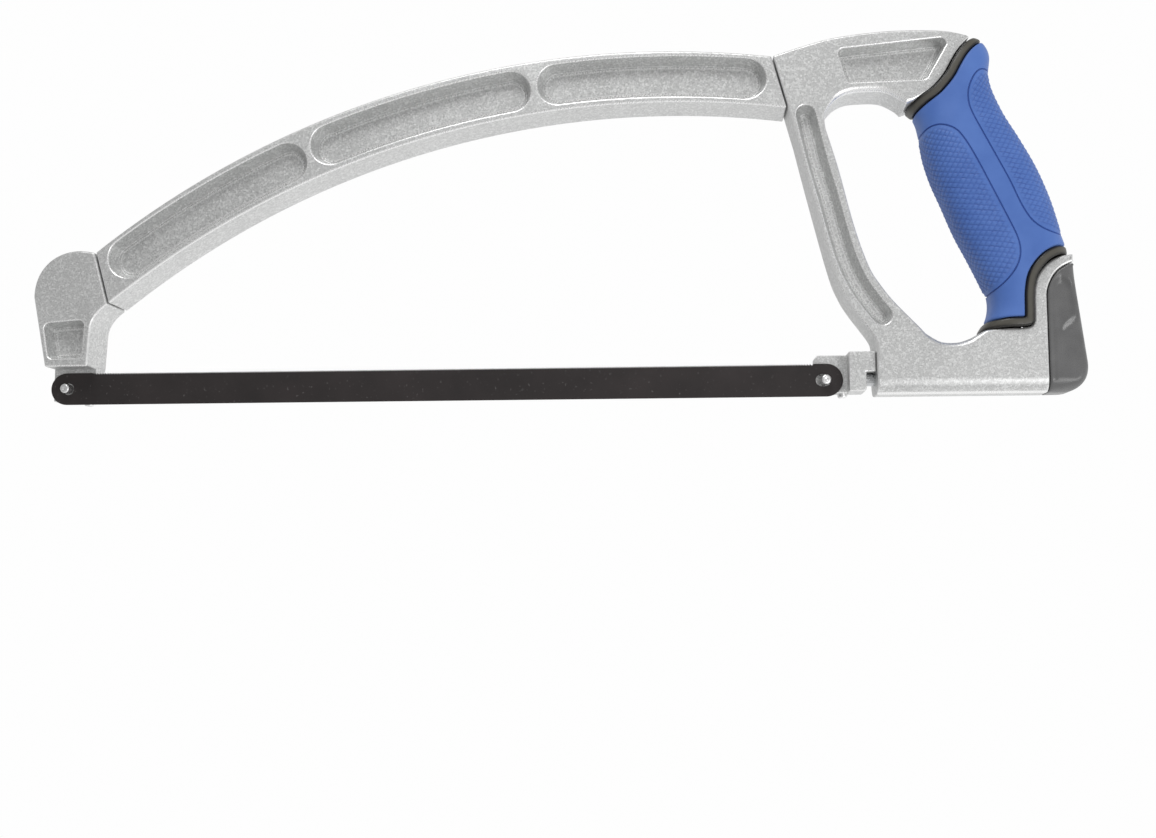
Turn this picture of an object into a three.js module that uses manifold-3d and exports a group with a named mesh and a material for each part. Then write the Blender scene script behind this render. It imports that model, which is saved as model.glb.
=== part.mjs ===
// Hacksaw with a die-cast frame that turns between a high and a low profile.
//
// Millimetres, +Z up.  X runs along the blade from the nose (-X) to the handle (+X), Y is the
// thickness of the saw.  While the parts are made, the origin is the middle of the line between the
// two blade holes, in the mid-plane of the castings.  At the end the whole saw moves, so that the
// origin is the middle of the underside of its box.

import * as THREE from 'three';
import { mergeVertices } from 'three/addons/utils/BufferGeometryUtils.js';
import Module from 'manifold-3d';

const wasm = await Module();
wasm.setup();

// ---------------------------------------------------------------- driving dimensions

const HOLE_SPACING = 300;          // between the blade's two holes
const BLADE_WIDTH = 12.7;
const BLADE_THICKNESS = 0.65;
const BLADE_NEAR_Y = -1.0;         // side of the blade that faces -Y
const HOLE_DIAMETER = 4.8;
const SLACK_TRAVEL = 1.5;          // how far the rear holder comes forward when the knob is undone
const PIN_DIAMETER = 3.8;
const PIN_LEAN = 6 * Math.PI / 180; // blade pins lean away from the blade's middle
const PIN_REACH = 4.2;             // of a side pin beyond its seat
const DOWN_PIN_TIP_Z = -6.6;
const DOWN_PIN_OFFSET = 7;         // from a side pin back to the down pin of the same seat

const CAST_HALF = 9.5;             // half the thickness of the castings
const POCKET_DEPTH = 6.5;
const LONG_POCKET_DRAFT = 1.9;     // how much a pocket's wall widens towards the face
const SHORT_POCKET_DRAFT = 1.3;
const GAP = 0.3;                   // running gap between neighbours

const CHORD_ANGLE = 15.2 * Math.PI / 180; // the bow's swivel axis, measured from the blade
const CHORD_HEIGHT = 79.5;         // of the swivel axis above the blade at X = 0
const JOINT_SPAN = 139;            // from the middle of the axis to each joint plane
const JOINT_GAP = 0.6;
const JOINT_HALF = 10.75;          // half the height of a joint face

const BOW_TOP = { apex: 39, radius: 355 };
const BOW_BOTTOM = { apex: 18, radius: 350 };
const BOW_POCKET_HALF = 8.2;       // half the width of a bow pocket at its rim
const BOW_POCKET_ENDS = [[-134.8, -47.6], [-45.2, 45.2], [47.6, 134.8]];

const STUD_DIAMETER = 5;
const STUD_IN_BOW = 14;
const STUD_REACH = 16;             // beyond the bow's end, into the nose or the handle
const BUSH_DIAMETER = 8;
const STUD_PIN_DIAMETER = 2.5;

const BLOCK_FRONT_X = 169;         // front face of the handle's lower block
const HEEL_X = 232.8;              // rear face of the handle, where the knob turns
const BLOCK_BOTTOM_Z = -6.3;
const BLOCK_CORNER = 5.5;
const ROD_DIAMETER = 5;
const BARREL_DIAMETER = 9;         // bore in the block, on the blade's line
const HEEL_WALL = 5;

const SEAT_Z = [-5, 10.2];         // of the two blade seats

const GRIP_HALF = { end: 11, middle: 13.5 }; // half the thickness of the grip
const COVER_WALL = 2.2;
const CORE_DEPTH = 5.5;            // of the casting's spine below the grip's surface
const RIM_WIDTH = 3.3;             // of the liner's bare rims

// ---------------------------------------------------------------- colours

const PAINT = {
  cast: { color: 0xb9bbb8, roughness: 0.5, metalness: 0.6 },
  steel: { color: 0xc8c9cb, roughness: 0.3, metalness: 1 },
  blade: { color: 0x2b2626, roughness: 0.55, metalness: 0.4 },
  blue: { color: 0x3f63b0, roughness: 0.65, metalness: 0 },
  black: { color: 0x232325, roughness: 0.5, metalness: 0 },
  bronze: { color: 0xa9793f, roughness: 0.4, metalness: 1 },
};

// ---------------------------------------------------------------- solids

function toSolid(geometry) {
  const bare = geometry.index ? geometry.toNonIndexed() : geometry.clone();
  for (const name of Object.keys(bare.attributes)) {
    if (name !== 'position') bare.deleteAttribute(name);
  }
  const merged = mergeVertices(bare, 1e-4);
  return new wasm.Manifold(new wasm.Mesh({
    numProp: 3,
    vertProperties: new Float32Array(merged.attributes.position.array),
    triVerts: new Uint32Array(merged.index.array),
  }));
}

function toGeometry(solid) {
  const mesh = solid.getMesh();
  const geometry = new THREE.BufferGeometry();
  geometry.setAttribute('position', new THREE.BufferAttribute(mesh.vertProperties, 3));
  geometry.setIndex(new THREE.BufferAttribute(mesh.triVerts, 1));
  geometry.computeVertexNormals();
  return geometry;
}

const joined = (...solids) => solids.reduce((all, one) => all.add(one));
const cut = (body, ...tools) => tools.reduce((left, tool) => left.subtract(tool), body);

function boxSolid(x, y, z) {
  const geometry = new THREE.BoxGeometry(x[1] - x[0], y[1] - y[0], z[1] - z[0]);
  geometry.translate((x[0] + x[1]) / 2, (y[0] + y[1]) / 2, (z[0] + z[1]) / 2);
  return toSolid(geometry);
}

// A body turned about the line from one point to another.  The profile is a list of distances
// along that line and the radius there.
function turnedSolid(from, to, profile, sides = 20) {
  const start = new THREE.Vector3(...from);
  const along = new THREE.Vector3(...to).sub(start).normalize();
  const outline = [[profile[0][0], 0], ...profile, [profile.at(-1)[0], 0]];
  const section = outline.map(([distance, radius]) => new THREE.Vector2(radius, distance));
  const geometry = new THREE.LatheGeometry(section, sides);
  const up = new THREE.Vector3(0, 1, 0);
  geometry.applyQuaternion(new THREE.Quaternion().setFromUnitVectors(up, along));
  geometry.translate(start.x, start.y, start.z);
  return toSolid(geometry);
}

function rodSolid(from, to, radius, sides = 20) {
  const length = new THREE.Vector3(...to).distanceTo(new THREE.Vector3(...from));
  return turnedSolid(from, to, [[0, radius], [length, radius]], sides);
}

// A plate in the X-Z plane, from y = near to y = far.
function plateSolid(shape, near, far, segments = 8) {
  const geometry = new THREE.ExtrudeGeometry(shape, {
    depth: far - near, bevelEnabled: false, curveSegments: segments,
  });
  geometry.rotateX(Math.PI / 2);
  geometry.translate(0, far, 0);
  return toSolid(geometry);
}

// A pair of pockets, one in each side face, whose walls widen towards the face by the draft.
// The shape is their floor.
function pocketPair(floor, draft) {
  const geometry = new THREE.ExtrudeGeometry(floor, {
    depth: 4, bevelEnabled: true, bevelThickness: POCKET_DEPTH, bevelSize: draft, bevelSegments: 1,
  });
  geometry.rotateX(Math.PI / 2);
  geometry.translate(0, -CAST_HALF, 0);
  const pocket = toSolid(geometry);
  return pocket.add(pocket.mirror([0, 1, 0]));
}

function shapeThrough(points) {
  return new THREE.Shape(points.map(([x, z]) => new THREE.Vector2(x, z)));
}

function curvePoints(points, count) {
  const curve = new THREE.SplineCurve(points.map(([x, z]) => new THREE.Vector2(x, z)));
  return curve.getPoints(count).map((point) => [point.x, point.y]);
}

// A line moved sideways, to the left of its own direction, by a distance.
function besideLine(points, distance) {
  return points.map(([x, z], i) => {
    const [ax, az] = points[Math.max(i - 1, 0)];
    const [bx, bz] = points[Math.min(i + 1, points.length - 1)];
    const length = Math.hypot(bx - ax, bz - az);
    return [x - (bz - az) / length * distance, z + (bx - ax) / length * distance];
  });
}

// A slot with round ends along a centre line.
function slotShape(centreLine, half, capCount = 8) {
  const cap = (at, towards) => {
    const along = Math.atan2(towards[1] - at[1], towards[0] - at[0]);
    return arcPoints(at, half, along - Math.PI / 2, along + Math.PI / 2, capCount);
  };
  const last = centreLine.length - 1;
  const beyond = (a, b) => [2 * a[0] - b[0], 2 * a[1] - b[1]];
  return shapeThrough([
    ...besideLine(centreLine, -half).slice(1, -1),
    ...cap(centreLine[last], beyond(centreLine[last], centreLine[last - 1])),
    ...besideLine(centreLine, half).slice(1, -1).reverse(),
    ...cap(centreLine[0], beyond(centreLine[0], centreLine[1])),
  ]);
}

// A polygon whose corners are rounded.
function roundedPolygon(corners, radius) {
  const shape = new THREE.Shape();
  corners.forEach((corner, i) => {
    const here = new THREE.Vector2(...corner);
    const before = new THREE.Vector2(...corners.at(i - 1));
    const after = new THREE.Vector2(...corners[(i + 1) % corners.length]);
    const enter = here.clone().add(before.sub(here).setLength(radius));
    const leave = here.clone().add(after.sub(here).setLength(radius));
    if (i === 0) shape.moveTo(enter.x, enter.y);
    else shape.lineTo(enter.x, enter.y);
    shape.quadraticCurveTo(here.x, here.y, leave.x, leave.y);
  });
  shape.closePath();
  return shape;
}

function arcPoints(centre, radius, from, to, count) {
  return Array.from({ length: count + 1 }, (_, i) => {
    const angle = from + (to - from) * i / count;
    return [centre[0] + radius * Math.cos(angle), centre[1] + radius * Math.sin(angle)];
  });
}

// ---------------------------------------------------------------- the swivel axis

const ALONG = new THREE.Vector3(Math.cos(CHORD_ANGLE), 0, Math.sin(CHORD_ANGLE));
const ACROSS = new THREE.Vector3(-Math.sin(CHORD_ANGLE), 0, Math.cos(CHORD_ANGLE));

// A point of the frame from its distance along the swivel axis and its height above it.
function chordPoint(along, across) {
  return [
    ALONG.x * along + ACROSS.x * across,
    CHORD_HEIGHT + ALONG.z * along + ACROSS.z * across,
  ];
}

function chordPlace(along, across, y) {
  const [x, z] = chordPoint(along, across);
  return [x, y, z];
}

// ---------------------------------------------------------------- bow

function archHeight(arch, along) {
  return arch.apex - arch.radius + Math.sqrt(arch.radius ** 2 - along ** 2);
}

function archLine(arch, from, to, count, offset = 0) {
  return Array.from({ length: count + 1 }, (_, i) => {
    const along = from + (to - from) * i / count;
    return chordPoint(along, archHeight(arch, along) + offset);
  });
}

function bowPocket([start, end]) {
  const middle = { apex: (BOW_TOP.apex + BOW_BOTTOM.apex) / 2, radius: BOW_TOP.radius };
  const centreLine = archLine(middle, start + BOW_POCKET_HALF, end - BOW_POCKET_HALF, 7);
  return pocketPair(slotShape(centreLine, BOW_POCKET_HALF - LONG_POCKET_DRAFT), LONG_POCKET_DRAFT);
}

function makeBow() {
  const reach = JOINT_SPAN - JOINT_GAP / 2;
  const body = plateSolid(shapeThrough([
    ...archLine(BOW_BOTTOM, -reach, reach, 20),
    ...archLine(BOW_TOP, reach, -reach, 20),
  ]), -CAST_HALF, CAST_HALF);
  const ends = [-1, 1].map((end) => joined(
    axisRod(end, 1, -STUD_IN_BOW - GAP, STUD_DIAMETER / 2 + 0.05),
    axisRod(end, 1, -1.2, WASHER_RADIUS + GAP),
  ));
  return cut(body, ...BOW_POCKET_ENDS.map(bowPocket), ...ends);
}

// ---------------------------------------------------------------- swivel studs, bushes, washers

const STUD_GROOVE = { from: 10, length: 3, radius: 1.5 };
const BUSH_END = 8.5;
const WASHER_RADIUS = 4.9;

// A cylinder on the swivel axis, between two distances beyond the joint plane of one end
// (-1 is the nose, +1 the handle).
function axisRod(end, from, to, radius) {
  const place = (beyond) => chordPlace(end * (JOINT_SPAN + beyond), 0, 0);
  return rodSolid(place(from), place(to), radius);
}

function makeSwivelStud(end) {
  const radius = STUD_DIAMETER / 2;
  const length = STUD_IN_BOW + STUD_REACH;
  const groove = STUD_IN_BOW + STUD_GROOVE.from;
  const grooveEnd = groove + STUD_GROOVE.length;
  const place = (beyond) => chordPlace(end * (JOINT_SPAN + beyond), 0, 0);
  return turnedSolid(place(-STUD_IN_BOW), place(STUD_REACH), [
    [0, radius], [groove, radius], [groove, STUD_GROOVE.radius], [grooveEnd, STUD_GROOVE.radius],
    [grooveEnd, radius], [length - 0.6, radius], [length, radius - 0.6],
  ]);
}

function makeSwivelBush(end) {
  return cut(
    axisRod(end, JOINT_GAP, BUSH_END, BUSH_DIAMETER / 2),
    axisRod(end, 0, BUSH_END + 1, STUD_DIAMETER / 2 + 0.1),
  );
}

// A spring washer in the recess of the bow's end face.
function makeSwivelWasher(end) {
  return cut(
    axisRod(end, -1, 0.2, WASHER_RADIUS),
    axisRod(end, -2, 1, STUD_DIAMETER / 2 + GAP),
  );
}

function studPinPlace(end, y) {
  const beyond = STUD_GROOVE.from + STUD_GROOVE.length / 2;
  return chordPlace(end * (JOINT_SPAN + beyond), STUD_GROOVE.radius + STUD_PIN_DIAMETER / 2 + 0.1, y);
}

// The cross pin sits in the stud's groove, driven in from the far side.
function makeStudPin(end) {
  return rodSolid(studPinPlace(end, -5), studPinPlace(end, CAST_HALF - 0.4), STUD_PIN_DIAMETER / 2, 16);
}

// The bore for stud and bush in a joint boss, and the blind hole for the stud's cross pin.
function swivelBore(end) {
  return joined(
    axisRod(end, -1, BUSH_END + GAP, BUSH_DIAMETER / 2 + 0.05),
    axisRod(end, BUSH_END - 1, STUD_REACH + 1, STUD_DIAMETER / 2 + 0.2),
    rodSolid(studPinPlace(end, -5.3), studPinPlace(end, CAST_HALF + 1), STUD_PIN_DIAMETER / 2 + 0.05, 16),
  );
}

// ---------------------------------------------------------------- blade and its pins

// end is -1 at the nose and +1 at the handle; every pin leans outwards.
function sidePin(end) {
  const root = 6;
  const bladeMiddle = BLADE_NEAR_Y + BLADE_THICKNESS / 2;
  const place = (y) => [end * (HOLE_SPACING / 2 + Math.tan(PIN_LEAN) * (bladeMiddle - y)), y, 0];
  return { root: place(root), tip: place(-PIN_REACH) };
}

function downPin(end) {
  const y = 3.6;
  const x = end * HOLE_SPACING / 2 + DOWN_PIN_OFFSET;
  const place = (z) => [x + end * Math.tan(PIN_LEAN) * (SEAT_Z[0] - z), y, z];
  return { root: place(5), tip: place(DOWN_PIN_TIP_Z) };
}

function pointBetween(from, to, distance) {
  const start = new THREE.Vector3(...from);
  const end = new THREE.Vector3(...to);
  return start.lerp(end, distance / start.distanceTo(end)).toArray();
}

function makePin({ root, tip }) {
  const length = new THREE.Vector3(...root).distanceTo(new THREE.Vector3(...tip));
  const radius = PIN_DIAMETER / 2;
  return turnedSolid(root, tip, [
    [0, radius], [length - 0.6, radius], [length - 0.15, radius - 0.3], [length, radius - 0.9],
  ]);
}

function pinHole({ root, tip }) {
  return rodSolid(pointBetween(root, tip, -GAP), tip, PIN_DIAMETER / 2 + 0.05);
}

// The rear hole is a short slot: the rear pin moves in it when the knob is undone.
function makeBlade() {
  const end = HOLE_SPACING / 2 + 0.6;
  const radius = HOLE_DIAMETER / 2;
  const slack = SLACK_TRAVEL - (HOLE_DIAMETER - PIN_DIAMETER) / 2 + 0.1;
  const rear = HOLE_SPACING / 2;
  const shape = slotShape([[-end, 0], [0, 0], [end, 0]], BLADE_WIDTH / 2, 16);
  const round = new THREE.EllipseCurve(-rear, 0, radius, radius, 0, 2 * Math.PI);
  const hole = new THREE.Path(round.getPoints(24).slice(0, -1));
  const slotLine = [[rear - slack, 0], [rear - slack / 2, 0], [rear, 0]];
  const slot = new THREE.Path(slotShape(slotLine, radius, 12).getPoints());
  shape.holes.push(hole, slot);
  return plateSolid(shape, BLADE_NEAR_Y, BLADE_NEAR_Y + BLADE_THICKNESS);
}

// ---------------------------------------------------------------- nose

const NOSE_FOOT = { x: [-156.3, -138.8], y: [-0.05, 8] };
const NOSE_BOTTOM = 8;

function noseShape() {
  const reach = -(JOINT_SPAN + JOINT_GAP / 2);
  const jointTop = chordPoint(reach, JOINT_HALF);
  const jointBottom = chordPoint(reach, -JOINT_HALF);
  const shape = new THREE.Shape();
  shape.moveTo(-156.2, NOSE_BOTTOM);
  shape.lineTo(-139.1, NOSE_BOTTOM);
  shape.lineTo(-138.3, 22.3);
  shape.bezierCurveTo(-137.9, 27, -135.2, 30, ...jointBottom);
  shape.lineTo(...jointTop);
  shape.quadraticCurveTo(-139.8, 54.1, -142.7, 54.3);
  shape.bezierCurveTo(-154, 54.5, -161.6, 46.9, -161.5, 36);
  shape.closePath();
  return shape;
}

function makeNose() {
  const floor = roundedPolygon([[-153.8, 12.4], [-142.5, 12.6], [-142, 25.3], [-155.9, 24.2]], 1);
  return cut(
    joined(
      plateSolid(noseShape(), -CAST_HALF, CAST_HALF),
      boxSolid(NOSE_FOOT.x, NOSE_FOOT.y, [SEAT_Z[0], NOSE_BOTTOM + 1]),
    ),
    pocketPair(floor, SHORT_POCKET_DRAFT),
    swivelBore(-1),
    pinHole(sidePin(-1)),
    pinHole(downPin(-1)),
  );
}

// ---------------------------------------------------------------- rear blade holder and rod

const SEAT_X = [146.2, 158.6];
const COLLAR_END_X = BLOCK_FRONT_X - GAP;
const HOLDER_HALF = 7;
const HOLDER_BACK_X = 164.9;        // the rod's neck shows behind this face
const TONGUE = { x: 182, y: 3.4, z: [2.9, 9.3] };
const ROD_X = [160, 242.6];
const RING_X = 187;

function makeRearHolder() {
  return cut(
    joined(
      boxSolid(SEAT_X, [-0.05, HOLDER_HALF], SEAT_Z),
      boxSolid([SEAT_X[1], COLLAR_END_X], [-HOLDER_HALF, HOLDER_HALF], [2.4, 9.8]),
      boxSolid([SEAT_X[1], HOLDER_BACK_X], [-HOLDER_HALF, HOLDER_HALF], [SEAT_Z[0], 3]),
      boxSolid([COLLAR_END_X - 1, TONGUE.x], [-TONGUE.y, TONGUE.y], TONGUE.z),
    ),
    axisBore(ROD_X[0] - GAP, COLLAR_END_X + 1, ROD_DIAMETER / 2 + 0.05),
    pinHole(sidePin(1)),
    pinHole(downPin(1)),
  );
}

// A cylinder on the rod's axis, which is the blade's line.
function axisBore(from, to, radius, sides = 20) {
  return rodSolid([from, 0, 0], [to, 0, 0], radius, sides);
}

function makeTensionRod() {
  const radius = ROD_DIAMETER / 2;
  const groove = RING_X - ROD_X[0];
  const length = ROD_X[1] - ROD_X[0];
  return turnedSolid([ROD_X[0], 0, 0], [ROD_X[1], 0, 0], [
    [0, radius], [groove, radius], [groove, radius - 0.6], [groove + 1, radius - 0.6],
    [groove + 1, radius], [length - 0.6, radius], [length, radius - 0.6],
  ]);
}

function makeRetainingRing() {
  return cut(
    axisBore(RING_X + 0.15, RING_X + 0.85, 3.6),
    axisBore(RING_X, RING_X + 1, ROD_DIAMETER / 2 - 0.5),
    boxSolid([RING_X, RING_X + 1], [-1.3, 1.3], [-5, 0]),
  );
}

const SPRING = { seat: RING_X + 1.1, wire: 0.45, radius: 3.4, turns: 9 };

function makeSeatWasher() {
  return cut(
    axisBore(SPRING.seat, SPRING.seat + 1, 4.1),
    axisBore(SPRING.seat - 1, SPRING.seat + 2, ROD_DIAMETER / 2 + 0.1),
  );
}

// A coil spring along the rod, between the seat washer and the heel wall.
function makeTensionSpring() {
  const start = SPRING.seat + 1.3 + SPRING.wire;
  const end = HEEL_X - HEEL_WALL - GAP - SPRING.wire;
  const coil = new THREE.Curve();
  coil.getPoint = (t, target = new THREE.Vector3()) => target.set(
    start + (end - start) * t,
    SPRING.radius * Math.cos(2 * Math.PI * SPRING.turns * t),
    SPRING.radius * Math.sin(2 * Math.PI * SPRING.turns * t),
  );
  const round = new THREE.EllipseCurve(0, 0, SPRING.wire, SPRING.wire, 0, 2 * Math.PI);
  const wire = new THREE.Shape(round.getPoints(5).slice(0, -1));
  const steps = SPRING.turns * 10;
  return toSolid(new THREE.ExtrudeGeometry(wire, { steps, bevelEnabled: false, extrudePath: coil }));
}

const THRUST = { x: [HEEL_X - 0.9, HEEL_X + 0.1], radius: 5 };

function makeRodGuideBush() {
  return cut(
    axisBore(HEEL_X - HEEL_WALL, THRUST.x[0] - GAP, 4),
    axisBore(HEEL_X - HEEL_WALL - 1, HEEL_X, ROD_DIAMETER / 2 + 0.1),
  );
}

function makeThrustWasher() {
  return cut(
    axisBore(THRUST.x[0], THRUST.x[1], THRUST.radius),
    axisBore(THRUST.x[0] - 1, THRUST.x[1] + 1, ROD_DIAMETER / 2 + 0.2),
  );
}

// ---------------------------------------------------------------- tension knob

const KNOB_FRONT_X = HEEL_X + 0.4;
const KNOB_REAR_TOP = [243.1, 42.6];
const INSERT = { x: [HEEL_X + 0.2, HEEL_X + 8.4], radius: 4.7 };

// Radius of the knob's turned top about the rod, for each X.
const KNOB_CURVE = curvePoints([
  [KNOB_FRONT_X, 30.5], [233.6, 33], [234.9, 36.2], [236.6, 38.8], [238.8, 40.7],
  [241.5, 42.1], KNOB_REAR_TOP,
], 10);

function turnedAboutRod(profile) {
  return turnedSolid([0, 0, 0], [1, 0, 0], profile, 64);
}

// The room the knob needs to turn, cut out of the handle.
function heelSweep() {
  const curve = besideLine(KNOB_CURVE, GAP + 0.1);
  const last = curve.at(-1);
  return turnedAboutRod([[HEEL_X, curve[0][1] - 1], ...curve, [last[0] + 12, last[1] + 2]]);
}

function knobShape() {
  const shape = new THREE.Shape();
  shape.moveTo(KNOB_FRONT_X, BLOCK_BOTTOM_Z);
  shape.lineTo(238, BLOCK_BOTTOM_Z);
  shape.bezierCurveTo(244.2, BLOCK_BOTTOM_Z, 248.4, -2, 247.7, 5);
  shape.lineTo(245.3, 24.7);
  shape.lineTo(KNOB_REAR_TOP[0], 42.6);
  shape.lineTo(KNOB_FRONT_X, 44);
  shape.closePath();
  return shape;
}

// A shallow oval dish for thumb and finger on both sides of the knob.
function knobDishes() {
  const depth = 1.6;
  const profile = [[0, 0], [2.6, 0.15], [4.4, 0.55], [5.6, depth], [5.6, depth + 2], [0, depth + 2]];
  const geometry = new THREE.LatheGeometry(profile.map(([radius, y]) => new THREE.Vector2(radius, y)), 24);
  geometry.rotateX(Math.PI);
  geometry.scale(0.66, 1, 1.7);
  geometry.rotateY(-0.1);
  geometry.translate(238.8, depth - CAST_HALF, 29);
  const dish = toSolid(geometry);
  return dish.add(dish.mirror([0, 1, 0]));
}

function makeKnob() {
  const turned = turnedAboutRod([...KNOB_CURVE, [252, KNOB_REAR_TOP[1]]]);
  return cut(
    plateSolid(knobShape(), -CAST_HALF, CAST_HALF, 10).intersect(turned),
    knobDishes(),
    bottomRounding(KNOB_FRONT_X - 1, 251),
    axisBore(KNOB_FRONT_X - 1, INSERT.x[1] + GAP, INSERT.radius + 0.05, 12),
    axisBore(KNOB_FRONT_X, ROD_X[1] + 1, ROD_DIAMETER / 2 + GAP),
  );
}

function makeKnobInsert() {
  return cut(
    axisBore(INSERT.x[0], INSERT.x[1], INSERT.radius, 12),
    axisBore(INSERT.x[0] - 1, INSERT.x[1] + 1, ROD_DIAMETER / 2 + 0.1),
  );
}

// ---------------------------------------------------------------- handle and grip

// The grip's outline in the mid-plane, from the top down; both lines run on into the casting.
const GRIP_BACK = [
  [199, 140], [207.5, 134.4], [212.6, 131.8], [215.6, 126], [215, 115.5], [219.4, 103.6], [225.6, 92.6],
  [231.6, 81.2], [236.5, 68.6], [240, 56], [242.2, 48.2], [243, 38], [243, 26], [243, 12],
];
const GRIP_INSIDE = [
  [168, 127], [180.5, 108.5], [186.6, 102.4], [188.9, 94], [190.4, 86], [192.9, 77.6], [196.4, 68.9],
  [201.3, 56.5], [206.2, 46.5], [210.6, 37], [213, 30.5], [212.2, 23.2], [207.6, 15.7], [203, 6],
];

// Where casting and liner meet, seen from the side.
const UPPER_SEAM = [
  [175, 99.6], [180, 103.5], [187.7, 109], [192.7, 112.6], [196.9, 117.5],
  [199.5, 122.1], [202.1, 126.4], [205, 129.9], [208, 132.6], [211.5, 135.2], [218, 139],
];
const LOWER_SEAM = [
  [203.5, 17.5], [207, 16.3], [211, 17.5], [218, 18], [224.4, 18.2], [227.4, 19.4], [228, 23],
  [228.1, 31], [229.3, 37.2], [232.7, 42], [236.8, 44.8], [241, 45.8], [252, 46.2],
];

// The plate of space on the grip's side of both seams, a distance away from them.
function gripSpan(inset) {
  const upper = curvePoints(besideLine(UPPER_SEAM, -inset), 26);
  const lower = curvePoints(besideLine(LOWER_SEAM, inset), 30);
  return plateSolid(shapeThrough([...upper, [262, 110], [262, 60], ...lower.reverse()]), -20, 20);
}

// The grip's rounded form: oval sections between the inside line and the back line.  The form
// lies a distance below the grip's surface.
function gripForm(below, half = null, rings = 26, around = 22) {
  const insideLine = curvePoints(GRIP_INSIDE, rings);
  const backLine = curvePoints(GRIP_BACK, rings);
  const corners = [];
  for (let ring = 0; ring <= rings; ring += 1) {
    const [inner, outer] = [insideLine[ring], backLine[ring]];
    const depth = Math.hypot(outer[0] - inner[0], outer[1] - inner[1]);
    const bulge = Math.sin(Math.PI * ring / rings);
    const full = GRIP_HALF.end + (GRIP_HALF.middle - GRIP_HALF.end) * bulge;
    const thickness = half ?? full - below;
    for (let i = 0; i < around; i += 1) {
      const angle = 2 * Math.PI * i / around;
      const swell = (value) => Math.sign(value) * Math.abs(value) ** 0.72;
      const across = (depth / 2 - below) * swell(Math.cos(angle)) / depth + 0.5;
      corners.push(
        inner[0] + (outer[0] - inner[0]) * across,
        thickness * swell(Math.sin(angle)),
        inner[1] + (outer[1] - inner[1]) * across,
      );
    }
  }
  const faces = [];
  for (let ring = 0; ring < rings; ring += 1) {
    for (let i = 0; i < around; i += 1) {
      const next = (i + 1) % around;
      const [a, b] = [ring * around + i, ring * around + next];
      faces.push(a, a + around, b, b, a + around, b + around);
    }
  }
  for (let i = 1; i < around - 1; i += 1) {
    const last = rings * around;
    faces.push(0, i, i + 1, last, last + i + 1, last + i);
  }
  const geometry = new THREE.BufferGeometry();
  geometry.setAttribute('position', new THREE.Float32BufferAttribute(corners, 3));
  geometry.setIndex(faces);
  return toSolid(geometry);
}

function handleShape() {
  const reach = JOINT_SPAN + JOINT_GAP / 2;
  const jointTop = chordPoint(reach, JOINT_HALF);
  const jointBottom = chordPoint(reach, -JOINT_HALF);
  const strutTop = chordPoint(reach, -JOINT_HALF - 12);
  return shapeThrough([
    ...curvePoints([
      jointTop, [144, 130.2], [156.5, 133.2], [176.3, 135.1], [195.8, 134.7], [206.3, 132.4], [213, 129.5],
    ], 14),
    [214, 124], [243.1, 60],
    [243.1, 20],
    [HEEL_X + 1, BLOCK_BOTTOM_Z], [BLOCK_FRONT_X, BLOCK_BOTTOM_Z],
    ...curvePoints([
      [BLOCK_FRONT_X, 11], [168.4, 15], [164.8, 20.4], [160.3, 26.6], [156.6, 33], [152.9, 43],
      [145.6, 72], strutTop,
    ], 16),
    jointBottom,
  ]);
}

const STRUT_BACK = [
  [187.4, 16.7], [176.8, 27.8], [171, 35.3], [166.6, 43], [161.5, 58.5], [156, 81], [151.4, 97],
];
const WEB_UNDER = [
  [151.4, 97], [151.2, 102.5], [154.6, 107.6], [160, 110.7], [167, 111.4], [174, 111],
  [179.5, 108.3], [183.6, 104.9],
];
const LOOP_BOTTOM = [
  [208.4, 17], [205.4, 15], [202, 13.6], [198.5, 12.9], [193, 13.4], [187.4, 16.7],
];

function openingShape() {
  return shapeThrough([
    ...curvePoints(STRUT_BACK, 12).slice(0, -1),
    ...curvePoints(WEB_UNDER, 12),
    ...GRIP_INSIDE.slice(2, -2),
    ...curvePoints(LOOP_BOTTOM, 10).slice(0, -1),
  ]);
}

function strutSlots() {
  const centreLine = curvePoints([
    [143.9, 102.7], [147.6, 86], [151.6, 71], [155.2, 56.6], [158.7, 44.8], [162.7, 35.9],
    [167.4, 28.8], [171.3, 23.8],
  ], 12);
  return pocketPair(slotShape(centreLine, 2), LONG_POCKET_DRAFT);
}

function webPockets() {
  const floor = [[157.8, 127.3], [161, 116.2], [189.5, 116.7], [197.6, 130.7]];
  return pocketPair(roundedPolygon(floor, 0.8), SHORT_POCKET_DRAFT);
}

// Takes the two long bottom edges off the block, leaving round corners.
function bottomRounding(from, to) {
  const middleZ = BLOCK_BOTTOM_Z + BLOCK_CORNER;
  const corner = (side) => {
    const middleY = side * (CAST_HALF - BLOCK_CORNER);
    const outside = [middleY, side * (CAST_HALF + 1)].sort((a, b) => a - b);
    return cut(
      boxSolid([from, to], outside, [BLOCK_BOTTOM_Z - 1, middleZ]),
      rodSolid([from - 1, middleY, middleZ], [to + 1, middleY, middleZ], BLOCK_CORNER),
    );
  };
  return corner(-1).add(corner(1));
}

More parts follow.
